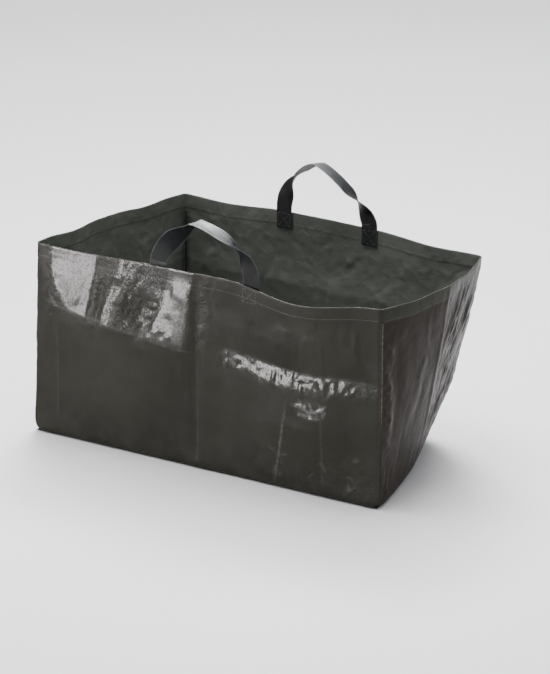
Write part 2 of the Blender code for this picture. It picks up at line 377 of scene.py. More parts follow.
@dataclass(frozen=True)
class FoldLine:
    """A fold or wrinkle that runs along a path on one wall.

    The path is in shares of the wall's length and height. A positive height stands
    out of the bag. The reaches are metres to the left and to the right of the path.
    """

    side: Side
    path: Stops
    height: float
    reaches: Place
    shape: FoldShape = FoldShape.ROUND
    # Whitening along the crest: crease wear, and on some lines a painted glint.
    wear: float = 0.0
    end_share: float = 0.18
    end_height: float = 0.25
    crest_round: float = 0.0015
    tent_power: float = 1.25
    mark_reach: float = 0.0028

    def measure(self, along: np.ndarray, rise: np.ndarray, scale: Place) -> tuple[np.ndarray, ...]:
        """Distance from the path, positive to the left, and the share along it.

        Args:
            along: metres along the wall.
            rise: metres up the wall.
            scale: the wall's length and height in metres.

        Returns:
            Signed distance and share of the path's length.
        """
        points = np.array(self.path) * np.array(scale)
        spans = step_lengths(points)
        marks = running_sum(spans)
        best = np.full(along.shape, np.inf)
        signed, share = np.zeros(along.shape), np.zeros(along.shape)
        for index, span in enumerate(spans):
            direction = (points[index + 1] - points[index]) / span
            dx, dy = along - points[index][0], rise - points[index][1]
            reached = np.clip(dx * direction[0] + dy * direction[1], 0.0, span)
            off_x, off_y = dx - direction[0] * reached, dy - direction[1] * reached
            off = np.hypot(off_x, off_y)
            left = np.where(direction[0] * dy - direction[1] * dx >= 0.0, 1.0, -1.0)
            nearer = off < best
            best = np.where(nearer, off, best)
            signed = np.where(nearer, off * left, signed)
            share = np.where(nearer, (marks[index] + reached) / marks[-1], share)
        return signed, share

    def press(self, along: np.ndarray, rise: np.ndarray, scale: Place) -> tuple[np.ndarray, ...]:
        """Offset and whitening that the fold gives.

        Args:
            along: metres along the wall.
            rise: metres up the wall.
            scale: the wall's length and height in metres.

        Returns:
            Outward offset in metres, and whitening from 0 to 1, which is crease wear and, on some lines, a painted
            glint.
        """
        signed, share = self.measure(along, rise, scale)
        reach = np.where(signed >= 0.0, *self.reaches)
        across = np.abs(signed) / reach
        if self.shape is FoldShape.ROUND:
            section = np.exp(-across ** 2)
        else:
            softened = np.sqrt(across ** 2 + (self.crest_round / reach) ** 2)
            section = np.maximum(0.0, 1.0 - softened) ** self.tent_power
        ends = smooth(share, 0.0, self.end_share) * smooth(1.0 - share, 0.0, self.end_share)
        ends = self.end_height + (1.0 - self.end_height) * ends
        return self.height * ends * section, self.wear * ends * ridge(signed, self.mark_reach)


class Relief:
    """Folds, wrinkles and crumple of the four walls."""

    def __init__(self, form: BagForm) -> None:
        """Lay out every fold of the bag.

        Args:
            form: the bag's form.
        """
        self.form = form
        self.lines: list[FoldLine] = []
        self.draw_front()
        self.draw_right()
        self.draw_hidden_walls()

    def add(self, side: Side, path: Stops, height: float, reaches: Place, **extra: object) -> None:
        """Add one fold line."""
        self.lines.append(FoldLine(side, path, height, reaches, **extra))

    def scatter(
        self, side: Side, seed: int, count: int, box: tuple[float, float, float, float],
        slant: Place, size: Place, height: float, reach: float, wear: float,
    ) -> None:
        """Short wrinkles in one area of a wall.

        Args:
            side: the wall.
            seed: seed of the places.
            count: how many wrinkles.
            box: lowest and highest share along, lowest and highest share up.
            slant: lowest and highest turn from level, in degrees.
            size: shortest and longest wrinkle in metres.
            height: height of the tallest wrinkle.
            reach: half its width.
            wear: whitening along its crest, which is wear, and in the front's scribble a painted glint.
        """
        random = np.random.default_rng(seed)
        length = self.form.side_lengths()[side.value]
        for _ in range(count):
            along, up = random.uniform(box[0], box[1]), random.uniform(box[2], box[3])
            angle = radians(random.uniform(*slant))
            half = random.uniform(*size) / 2
            bend = random.uniform(-0.25, 0.25) * half
            dx, dy = half * cos(angle) / length, half * sin(angle) / self.form.height
            bend_x, bend_y = -sin(angle) * bend / length, cos(angle) * bend / self.form.height
            path = ((along - dx, up - dy), (along + bend_x, up + bend_y), (along + dx, up + dy))
            tall = height * random.uniform(0.45, 1.0) * random.choice((1.0, -0.8))
            width = reach * random.uniform(0.7, 1.4)
            shape = FoldShape.TENT if random.uniform() < 0.6 else FoldShape.ROUND
            self.add(side, path, tall, (width, width * random.uniform(0.6, 1.6)), shape=shape, wear=wear)

    def draw_front(self) -> None:
        """Folds of the front wall, as the picture shows them."""
        front, tent = Side.FRONT, FoldShape.TENT
        self.add(front, ((0.02, 0.73), (0.08, 0.70), (0.24, 0.655), (0.40, 0.612), (0.49, 0.60)),
                 0.0095, (0.135, 0.15), shape=tent, wear=0.22, end_share=0.10)
        self.add(front, ((0.318, 0.56), (0.322, 0.70), (0.330, 0.92)), -0.0090, (0.032, 0.034), end_share=0.48)
        self.add(front, ((0.194, 0.57), (0.198, 0.70), (0.214, 0.94)), -0.0052, (0.012, 0.013), end_share=0.48)
        self.add(front, ((0.172, 0.655), (0.193, 1.0)), -0.0026, (0.006, 0.012), shape=tent, wear=0.12)
        self.add(front, ((0.040, 0.70), (0.047, 1.0)), 0.0014, (0.020, 0.014))
        self.add(front, ((0.468, 0.54), (0.466, 1.20)), 0.0060, (0.050, 0.017), end_share=0.12)
        self.add(front, ((0.490, 0.02), (0.487, 0.60), (0.484, 1.0)), -0.0024, (0.013, 0.010),
                 wear=0.13, end_share=0.04)
        self.add(front, ((0.075, 0.05), (0.075, 0.66)), 0.0009, (0.010, 0.010), wear=0.10)
        self.add(front, ((0.845, 0.03), (0.845, 0.45)), -0.0009, (0.010, 0.010), wear=0.14)
        self.add(front, ((0.750, 0.47), (0.712, 0.01)), 0.0007, (0.005, 0.004), shape=tent, wear=0.33)
        self.add(front, ((0.54, 0.648), (0.70, 0.64), (0.85, 0.63), (0.995, 0.618)),
                 -0.0024, (0.050, 0.028), shape=tent, wear=0.14, end_share=0.08)
        self.add(front, ((0.58, 0.500), (0.95, 0.485)), 0.0010, (0.040, 0.050), end_share=0.15)
        # The scribble's whitening is a painted glint of crumpled film, on top of the folds' own relief.
        scribbles = (
            ((0.786, 0.503), (0.799, 0.470), (0.823, 0.428)),
            ((0.786, 0.436), (0.812, 0.426), (0.846, 0.416)),
            ((0.860, 0.494), (0.848, 0.460), (0.826, 0.450)),
            ((0.812, 0.512), (0.819, 0.465), (0.812, 0.408)),
            ((0.765, 0.466), (0.790, 0.472), (0.808, 0.450)),
            ((0.840, 0.502), (0.842, 0.480), (0.828, 0.452)),
        )
        for index, path in enumerate(scribbles):
            self.add(front, path, 0.0024 * (-1) ** index, (0.0040, 0.0040), shape=tent,
                     wear=0.66 - 0.04 * index, end_share=0.30)
        for path in (((0.90, 0.03), (0.94, 0.095)), ((0.955, 0.025), (0.974, 0.060))):
            self.add(front, path, 0.0012, (0.006, 0.006), shape=tent, wear=0.14)
        self.scatter(front, 11, 34, (0.55, 0.97, 0.555, 0.625), (60, 120), (0.010, 0.034), 0.0017, 0.005, 0.10)
        self.scatter(front, 12, 7, (0.39, 0.46, 0.70, 0.92), (60, 100), (0.020, 0.055), 0.0005, 0.008, 0.04)
        self.scatter(front, 18, 20, (0.32, 0.41, 0.63, 0.74), (10, 120), (0.010, 0.026), 0.0010, 0.005, 0.14)
        self.scatter(front, 13, 18, (0.19, 0.33, 0.66, 0.97), (50, 80), (0.020, 0.060), 0.0014, 0.007, 0.06)
        self.scatter(front, 19, 10, (0.085, 0.17, 0.74, 0.97), (60, 85), (0.030, 0.070), 0.0006, 0.006, 0.05)
        # Whitening of these wrinkles adds painted glints to the scribble's spot.
        self.scatter(front, 20, 10, (0.780, 0.855, 0.415, 0.530), (15, 165), (0.008, 0.020), 0.0013, 0.004, 0.45)
        self.scatter(front, 15, 16, (0.52, 0.98, 0.68, 0.96), (70, 110), (0.030, 0.090), 0.0014, 0.011, 0.03)
        self.scatter(front, 16, 14, (0.05, 0.98, 0.08, 0.50), (60, 120), (0.030, 0.080), 0.0007, 0.010, 0.03)
        self.scatter(front, 17, 12, (0.66, 0.96, 0.06, 0.26), (10, 170), (0.010, 0.030), 0.0012, 0.005, 0.19)

    def draw_right(self) -> None:
        """Folds of the gusseted end wall."""
        right, tent = Side.RIGHT, FoldShape.TENT
        self.add(right, ((0.50, 0.03), (0.50, 1.0)), 0.0018, (0.012, 0.012),
                 shape=tent, wear=0.18, end_share=0.03)
        puckers = (
            (0.27, 0.018, 0.0012), (0.325, 0.030, 0.0022), (0.41, 0.024, 0.0016), (0.455, 0.040, 0.0026),
            (0.565, 0.028, 0.0020), (0.615, 0.036, 0.0028), (0.675, 0.020, 0.0013), (0.79, 0.034, 0.0018),
        )
        for up, reach, height in puckers:
            bend, end = (0.030 + reach, up + 0.2 * reach), (0.040 + 1.1 * reach, up - 1.1 * reach)
            self.add(right, ((0.020, up + reach), bend, end), height, (0.006, 0.009), wear=0.16)
        self.add(right, ((0.10, 0.25), (0.13, 0.55), (0.10, 0.90)), -0.0016, (0.016, 0.014), wear=0.05)
        self.scatter(right, 21, 44, (0.55, 0.95, 0.26, 0.93), (50, 70), (0.040, 0.130), 0.0022, 0.0070, 0.08)
        self.scatter(right, 22, 14, (0.54, 0.92, 0.06, 0.34), (40, 62), (0.040, 0.100), 0.0018, 0.008, 0.10)
        self.scatter(right, 23, 10, (0.08, 0.46, 0.10, 0.90), (60, 110), (0.040, 0.110), 0.0012, 0.013, 0.03)
        self.scatter(right, 24, 10, (0.02, 0.14, 0.05, 0.30), (70, 120), (0.020, 0.050), 0.0012, 0.006, 0.10)

    def draw_hidden_walls(self) -> None:
        """Folds of the back and left walls, of the same kinds."""
        back, left, tent = Side.BACK, Side.LEFT, FoldShape.TENT
        self.add(back, ((0.03, 0.62), (0.30, 0.635), (0.62, 0.62), (0.97, 0.64)),
                 -0.0040, (0.050, 0.055), shape=tent, wear=0.18, end_share=0.08)
        self.add(back, ((0.505, 0.02), (0.51, 0.60), (0.505, 1.0)), 0.0020, (0.014, 0.012),
                 shape=tent, wear=0.25, end_share=0.04)
        self.add(back, ((0.22, 0.04), (0.23, 0.60)), 0.0010, (0.012, 0.010), wear=0.10)
        self.add(back, ((0.79, 0.66), (0.77, 1.0)), -0.0026, (0.016, 0.012), wear=0.08)
        self.scatter(back, 31, 34, (0.04, 0.96, 0.50, 0.94), (30, 150), (0.020, 0.080), 0.0018, 0.009, 0.08)
        self.scatter(back, 32, 18, (0.04, 0.96, 0.06, 0.50), (50, 130), (0.030, 0.090), 0.0011, 0.011, 0.05)
        self.add(left, ((0.50, 0.03), (0.50, 1.0)), 0.0018, (0.012, 0.012),
                 shape=tent, wear=0.18, end_share=0.03)
        self.add(left, ((0.05, 0.64), (0.46, 0.62)), -0.0030, (0.030, 0.030), shape=tent, wear=0.12)
        self.add(left, ((0.54, 0.62), (0.95, 0.645)), -0.0030, (0.030, 0.030), shape=tent, wear=0.12)
        self.scatter(left, 41, 22, (0.05, 0.95, 0.50, 0.94), (30, 150), (0.020, 0.080), 0.0017, 0.009, 0.08)
        self.scatter(left, 42, 10, (0.05, 0.95, 0.06, 0.50), (50, 130), (0.030, 0.090), 0.0010, 0.011, 0.05)

    def crinkle(self, side: np.ndarray, share: np.ndarray, up: np.ndarray) -> np.ndarray:
        """How crinkled the sheet is.

        Args:
            side: index of the wall at each place.
            share: share along that wall.
            up: share of the height.

        Returns:
            Crinkle from 0 to 1.
        """
        upper_left = smooth(up, 0.60, 0.66) * smooth(0.53 - share, 0.0, 0.05) * smooth(share, 0.02, 0.07)
        under_fold = hump(up, 0.590, 0.075) * smooth(share, 0.53, 0.57)
        low_right = 0.50 * hump(up, 0.12, 0.16) * smooth(share, 0.60, 0.75)
        taut = np.maximum(self.left_patch(share, up), self.middle_patch(share, up) * smooth(share, 0.38, 0.43))
        front = 0.08 + 0.85 * upper_left * (1.0 - 0.80 * taut) + 0.85 * under_fold + low_right
        right = 0.22 + 0.40 * smooth(share, 0.48, 0.56) + 0.35 * smooth(0.12 - share, 0.0, 0.08)
        other = 0.35 + 0.35 * smooth(up, 0.45, 0.70)
        return np.clip(np.choose(side, (front, right, other, other)), 0.0, 1.0)

    @staticmethod
    def left_patch(share: np.ndarray, up: np.ndarray) -> np.ndarray:
        """The taut, shield-shaped patch of film at the front wall's upper left.

        Args:
            share: share along the front wall.
            up: share of the height.

        Returns:
            Cover from 0 to 1.
        """
        left = 0.045 + 0.063 * smooth(0.95 - up, 0.0, 0.29) ** 1.7
        right = profile(up, ((0.66, 0.168), (1.0, 0.190)))
        return smooth(share - left, 0.0, 0.009) * smooth(right - share, -0.001, 0.004) * smooth(up, 0.650, 0.672)

    @staticmethod
    def narrow_patch(share: np.ndarray, up: np.ndarray) -> np.ndarray:
        """The narrow slanting strip of film beside the left patch.

        Args:
            share: share along the front wall.
            up: share of the height.

        Returns:
            Cover from 0 to 1.
        """
        middle = profile(up, ((0.62, 0.222), (0.75, 0.233), (0.90, 0.262), (1.0, 0.297)))
        half = profile(up, ((0.62, 0.017), (0.80, 0.018), (0.93, 0.024), (1.0, 0.042)))
        return smooth(half - np.abs(share - middle), 0.0, 0.010) * smooth(up, 0.62, 0.65)

    @staticmethod
    def middle_patch(share: np.ndarray, up: np.ndarray) -> np.ndarray:
        """The wide patch of film left of the middle crease.

        Args:
            share: share along the front wall.
            up: share of the height.

        Returns:
            Cover from 0 to 1.
        """
        left = profile(up, ((0.60, 0.335), (0.70, 0.350), (0.80, 0.376), (0.92, 0.384), (1.0, 0.395)))
        right = 0.480 + 0.012 * np.sin(up * 37.0) * np.sin(up * 19.0 + 1.0)
        return smooth(share - left, 0.0, 0.014) * smooth(right - share, -0.006, 0.026) * smooth(up, 0.595, 0.64)

    @staticmethod
    def under_fold(share: np.ndarray, up: np.ndarray) -> np.ndarray:
        """The strip of film under the right half's fold, ragged below.

        Args:
            share: share along the front wall.
            up: share of the height.

        Returns:
            Cover from 0 to 1.
        """
        top = 0.643 - 0.050 * (share - 0.54)
        depths = (
            (0.54, 0.03), (0.58, 0.095), (0.69, 0.105), (0.75, 0.080), (0.795, 0.095),
            (0.82, 0.115), (0.860, 0.105), (0.885, 0.080), (0.95, 0.065), (0.995, 0.020),
        )
        ragged = profile(share, depths) * (1.0 + 0.28 * np.sin(share * 171.0) * np.sin(share * 67.0 + 1.0))
        return smooth(top - up, -0.002, 0.005) * smooth(up - top + ragged, 0.0, 0.030) * smooth(share, 0.540, 0.556)

    @staticmethod
    def small_spot(share: np.ndarray, up: np.ndarray) -> np.ndarray:
        """The small crumpled spot of film below the right half's fold."""
        away = np.hypot((share - 0.815) / 0.050, (up - 0.458) / 0.062)
        return smooth(1.0 - away, 0.0, 0.25)

    def shine(self, side: np.ndarray, share: np.ndarray, up: np.ndarray) -> np.ndarray:
        """How glossy the film still is: taut and unworn patches shine most.

        Args:
            side: index of the wall at each place.
            share: share along that wall.
            up: share of the height.

        Returns:
            Shine from 0 to 1.
        """
        mottled = smooth(up, 0.63, 0.68) * smooth(0.50 - share, 0.0, 0.02) * smooth(share, 0.26, 0.29)
        mottled *= 0.36 + 0.16 * smooth(share, 0.44, 0.47)
        patches = (
            (0.82, self.left_patch), (0.55, self.narrow_patch), (0.80, self.middle_patch),
            (0.72, self.under_fold), (1.0, self.small_spot),
        )
        covers = [gloss * patch(share, up) for gloss, patch in patches]
        front = np.maximum.reduce([np.full(share.shape, 0.10), mottled, *covers])
        right = 0.12 + 0.30 * smooth(share, 0.46, 0.62)
        drift = np.sin(share * 23.0 + 3.0 * np.sin(up * 9.0)) * np.sin(up * 15.0 + 1.0)
        other = 0.22 + 0.34 * smooth(drift, -0.3, 0.8)
        return np.choose(side, (front, right, other, other))

    def calm(self, side: np.ndarray, share: np.ndarray, up: np.ndarray) -> np.ndarray:
        """Share of the relief that is left near the floor, the straps' feet and the rim.

        Args:
            side: index of the wall at each place.
            share: share along that wall.
            up: share of the height.

        Returns:
            Share from 0 to 1.
        """
        floor = smooth(up, 0.015, 0.10)
        length = self.form.side_lengths()[side]
        no_strap = 9.0
        centre = np.choose(side, (FRONT_STRAP, no_strap, BACK_STRAP, no_strap))
        half = STRAP_SPREAD / 2 / length
        near = np.minimum(np.abs(share - centre + half), np.abs(share - centre - half))
        foot = smooth(near * length, 0.020, 0.045)
        top = smooth(up, 0.80, 0.90)
        return floor * (1.0 - top * (1.0 - foot) * 0.92) * (1.0 - 0.45 * smooth(up, 0.86, 0.99))

    def offset(self, distance: np.ndarray, up: np.ndarray, points: np.ndarray) -> tuple[np.ndarray, ...]:
        """Outward offset, crinkle and whitening at places on the walls; the whitening is wear and, in places, a
        painted glint.

        Args:
            distance: metres round the rim.
            up: share of the height.
            points: the places on the plain form.

        Returns:
            Offset in metres, crinkle from 0 to 1, and whitening from 0 to 1.
        """
        side, share = self.form.locate(distance)
        lengths = self.form.side_lengths()
        total, wear = np.zeros(up.shape), np.zeros(up.shape)
        for kind in Side:
            here = np.flatnonzero(side == kind.value)
            if not len(here):
                continue
            scale = (lengths[kind.value], self.form.height)
            along, rise = share[here] * scale[0], up[here] * scale[1]
            for line in self.lines:
                if line.side is kind:
                    lifted, marked = line.press(along, rise, scale)
                    total[here] += lifted
                    wear[here] = np.maximum(wear[here], marked)
        crinkle = self.crinkle(side, share, up)
        crumple = np.array([self.crumple(Vector(point)) for point in points])
        corner = smooth(np.minimum(share, 1.0 - share) * lengths[side], 0.0, 0.020)
        quiet = 1.0 - 0.80 * smooth(0.62 - up, 0.0, 0.08) * smooth(0.75 - share, 0.0, 0.2)
        quiet *= 1.0 - np.maximum(0.65 * self.left_patch(share, up), 0.85 * self.middle_patch(share, up))
        quiet = np.where(side == Side.FRONT.value, quiet, 1.0)
        total = total * corner + crumple[:, 0] * quiet + crumple[:, 1] * (0.15 + crinkle) * quiet
        return total * self.calm(side, share, up), crinkle, np.clip(wear * corner, 0.0, 1.0)

    @staticmethod
    def crumple(point: Vector) -> tuple[float, float]:
        """Crumple of the sheet at a point: broad waves, then sharp facets with a fine grain.

        Args:
            point: place on the plain form.

        Returns:
            Slow and quick offset in metres.
        """
        slow = 0.0030 * noise.noise(point * 6.5) + 0.0014 * noise.noise(point * 17.0 + Vector((3, 1, 7)))
        bent = point + 0.012 * noise.noise_vector(point * 14.0)
        facets = noise.noise(bent * 34.0, noise_basis="VORONOI_F2F1")
        return slow, 0.0011 * facets + 0.0003 * noise.noise(point * 90.0)


class Surface:
    """The bag's outer form with its relief, ready to be walked over."""

    def __init__(self) -> None:
        """Make the form and its relief."""
        self.form = BagForm()
        self.relief = Relief(self.form)

    def walk(
        self, distance: np.ndarray, up: np.ndarray, inset: np.ndarray, off: np.ndarray,
    ) -> tuple[np.ndarray, ...]:
        """Points of the sheet's middle, moved off it.

        Args:
            distance: metres round the rim.
            up: share of the height.
            inset: metres that the outline moves in, near the floor.
            off: metres outward from the sheet's middle.

        Returns:
            Points, outward normals, crinkle, and whitening that is wear and, in places, a painted glint.
        """
        points = self.form.plain(distance, up, inset)
        normals = self.form.normals(distance, up, inset)
        lifted, crinkle, wear = self.relief.offset(distance, up, points)
        level = 1.0 - smooth(inset, 0.0, 0.002)
        return points + normals * (lifted * level + off)[:, None], normals, crinkle, wear

    def at(self, side: Side, share: float, up: float) -> tuple[Vector, Vector]:
        """One point of the plain form and its outward normal.

        Args:
            side: the wall.
            share: share along it.
            up: share of the height.

        Returns:
            The point and the unit normal.
        """
        start, length = self.form.span(side)
        place = np.array((start + share * length,)), np.array((up,)), np.zeros(1)
        return Vector(self.form.plain(*place)[0]), Vector(self.form.normals(*place)[0])


# Modelling


def start_piece() -> None:
    """Deselect everything before a new primitive."""
    if bpy.context.object and bpy.context.object.mode != "OBJECT":
        bpy.ops.object.mode_set(mode="OBJECT")
    bpy.ops.object.select_all(action="DESELECT")


def select_only(piece: bpy.types.Object) -> None:
    """Make one piece selected and active.

    Args:
        piece: the piece.
    """
    start_piece()
    piece.select_set(True)
    bpy.context.view_layer.objects.active = piece


def name_piece(name: str) -> bpy.types.Object:
    """Name the active object and its mesh.

    Args:
        name: the name of both.

    Returns:
        The active object.
    """
    piece = bpy.context.active_object
    piece.name = piece.data.name = name
    return piece


def unit_grid(name: str, columns: int, rows: int) -> tuple[bpy.types.Object, np.ndarray, np.ndarray]:
    """A flat grid to be laid on a surface.

    Args:
        name: name of the piece.
        columns: faces along its first direction.
        rows: faces along its second direction.

    Returns:
        The piece, and each vertex's column and row number.
    """
    start_piece()
    bpy.ops.mesh.primitive_grid_add(x_subdivisions=columns, y_subdivisions=rows, size=1.0, calc_uvs=True)
    piece = name_piece(name)
    flat = np.empty(len(piece.data.vertices) * 3)
    piece.data.vertices.foreach_get("co", flat)
    flat = flat.reshape(-1, 3)
    return piece, (flat[:, 0] + 0.5) * columns, (flat[:, 1] + 0.5) * rows


def sheet_grid(name: str, places: np.ndarray, *levels: np.ndarray) -> tuple:
    """A grid for one sheet, whose columns stand at places and whose rows carry values.

    Args:
        name: name of the piece.
        places: metres along the sheet, one for each column of vertices.
        levels: one or more values for each row of vertices.

    Returns:
        The piece, each vertex's row number, its place, and its value of each level.
    """
    piece, columns, rows = unit_grid(name, len(places) - 1, len(levels[0]) - 1)
    along = np.interp(columns, np.arange(len(places)), places)
    return piece, rows, along, *(np.interp(rows, np.arange(len(level)), level) for level in levels)


def lay_points(piece: bpy.types.Object, points: np.ndarray, uvs: np.ndarray) -> None:
    """Move a grid's vertices to their places and give it a map in metres.

    Args:
        piece: the grid.
        points: one place for each vertex.
        uvs: one map position for each vertex.
    """
    mesh = piece.data
    mesh.vertices.foreach_set("co", np.ascontiguousarray(points, dtype=np.float32).ravel())
    corners = np.empty(len(mesh.loops), dtype=np.int32)
    mesh.loops.foreach_get("vertex_index", corners)
    mesh.uv_layers[0].data.foreach_set("uv", np.ascontiguousarray(uvs[corners], dtype=np.float32).ravel())
    mesh.update()


def paint(piece: bpy.types.Object, name: str, values: np.ndarray) -> None:
    """Store one number for each vertex."""
    layer = piece.data.attributes.new(name, "FLOAT", "POINT")
    layer.data.foreach_set("value", np.ascontiguousarray(values, dtype=np.float32))


def modify(piece: bpy.types.Object, kind: str, **settings: object) -> None:
    """Add one modifier to a piece and apply it.

    Args:
        piece: the piece.
        kind: the modifier's type.
        settings: the modifier's own settings.
    """
    select_only(piece)
    bpy.ops.object.modifier_add(type=kind)
    modifier = piece.modifiers[-1]
    for name, setting in settings.items():
        setattr(modifier, name, setting)
    bpy.ops.object.modifier_apply(modifier=modifier.name)


def thicken(piece: bpy.types.Object, thickness: float, inner_material: int = 0) -> None:
    """Give a sheet its thickness about its middle.

    Args:
        piece: the sheet.
        thickness: metres.
        inner_material: how many materials further on the inner face's own is.
    """
    modify(piece, "SOLIDIFY", thickness=thickness, offset=0.0, use_even_offset=False,
           material_offset=inner_material)


def soften_edges(piece: bpy.types.Object, width: float) -> None:
    """Round a sheet's cut edges a little."""
    modify(piece, "BEVEL", width=width, segments=2, limit_method="ANGLE")


def smooth_piece(piece: bpy.types.Object, degrees: float = 40.0) -> None:
    """Smooth shading up to an edge angle."""
    select_only(piece)
    bpy.ops.object.shade_smooth_by_angle(angle=radians(degrees))


def dress(piece: bpy.types.Object, slot: Slot, *materials: bpy.types.Material) -> None:
    """Give a piece its materials.

    Args:
        piece: the piece.
        slot: not used.
        materials: what it is made of, the outside first.
    """
    for material in materials:
        piece.data.materials.append(material)


def stations(start: float, end: float, step: float, edge_steps: tuple[float, ...]) -> np.ndarray:
    """Places along a line that crowd together at both ends.

    Args:
        start: first place.
        end: last place.
        step: spacing in the middle.
        edge_steps: distances from either end.

    Returns:
        The places in order.
    """
    head = [start + gap for gap in edge_steps]
    tail = [end - gap for gap in reversed(edge_steps)]
    count = max(int(round((tail[0] - head[-1]) / step)), 1)
    middle = np.linspace(head[-1], tail[0], count + 1)
    return np.concatenate((head[:-1], middle, tail[1:]))


# Shader node groups and finishes


class NodeBench:
    """Adds and joins nodes in one node tree."""

    def __init__(self, tree: bpy.types.NodeTree) -> None:
        """Keep the tree to work in."""
        self.tree = tree

    def feed(self, socket: bpy.types.NodeSocket, value: object) -> None:
        """Join a socket to another one, or set its value.

        Args:
            socket: the socket that takes it.
            value: another node's socket, or a plain value.
        """
        if isinstance(value, bpy.types.NodeSocket):
            self.tree.links.new(value, socket)
        else:
            socket.default_value = value

    def add(self, kind: str, values: dict | None = None, **settings: object) -> bpy.types.Node:
        """Add one node.

        Args:
            kind: the node's type.
            values: what goes into its sockets, by name or number.
            settings: the node's own settings.

        Returns:
            The node.
        """
        node = self.tree.nodes.new(kind)
        for name, setting in settings.items():
            setattr(node, name, setting)
        for name, value in (values or {}).items():
            self.feed(node.inputs[name], value)
        return node

    def math(self, operation: str, *values: object, clamp: bool = False) -> bpy.types.NodeSocket:
        """One sum, as a socket."""
        node = self.add("ShaderNodeMath", dict(enumerate(values)), operation=operation, use_clamp=clamp)
        return node.outputs[0]

    def stretch(self, value: object, low: float, high: float, first: float, last: float) -> bpy.types.NodeSocket:
        """A value moved from one range to another, kept inside it."""
        values = {"Value": value, "From Min": low, "From Max": high, "To Min": first, "To Max": last}
        return self.add("ShaderNodeMapRange", values).outputs[0]

    def blend(self, factor: object, first: object, second: object) -> bpy.types.NodeSocket:
        """Two colours mixed."""
        node = self.add("ShaderNodeMix", {0: factor, 6: first, 7: second}, data_type="RGBA")
        return node.outputs[2]

    def cloud(self, vector: object, scale: float, detail: float, roughness: float) -> bpy.types.NodeSocket:
        """Soft noise, as a socket."""
        values = {"Vector": vector, "Scale": scale, "Detail": detail, "Roughness": roughness}
        return self.add("ShaderNodeTexNoise", values).outputs["Fac"]

    def bump(self, height: object, distance: float, **more: object) -> bpy.types.NodeSocket:
        """A normal pushed by a height, as a socket."""
        values = {"Height": height, "Distance": distance, "Strength": 1.0, **more}
        return self.add("ShaderNodeBump", values).outputs[0]

    def group(self, tree: bpy.types.NodeTree, **values: object) -> bpy.types.Node:
        """One of the shared groups, placed with its own values."""
        return self.add("ShaderNodeGroup", values, node_tree=tree)

    def attribute(self, name: str) -> bpy.types.NodeSocket:
        """A number painted on the piece."""
        return self.add("ShaderNodeAttribute", attribute_name=name).outputs["Fac"]


@dataclass
class GroupPlan:
    """A node group with its named inputs and outputs."""

    name: str
    inputs: tuple[tuple[str, str], ...]
    outputs: tuple[tuple[str, str], ...]
    bench: NodeBench = field(init=False)
    given: bpy.types.Node = field(init=False)
    result: bpy.types.Node = field(init=False)

    def __post_init__(self) -> None:
        """Make the group and its end nodes."""
        tree = bpy.data.node_groups.new(self.name, "ShaderNodeTree")
        for name, kind in self.inputs:
            tree.interface.new_socket(name, in_out="INPUT", socket_type=kind)
        for name, kind in self.outputs:
            tree.interface.new_socket(name, in_out="OUTPUT", socket_type=kind)
        self.bench = NodeBench(tree)
        self.given = tree.nodes.new("NodeGroupInput")
        self.result = tree.nodes.new("NodeGroupOutput")

    def give(self, name: str) -> bpy.types.NodeSocket:
        """One of the group's inputs."""
        return self.given.outputs[name]

    def put(self, name: str, value: bpy.types.NodeSocket) -> None:
        """Send a value to one of the group's outputs."""
        self.bench.feed(self.result.inputs[name], value)


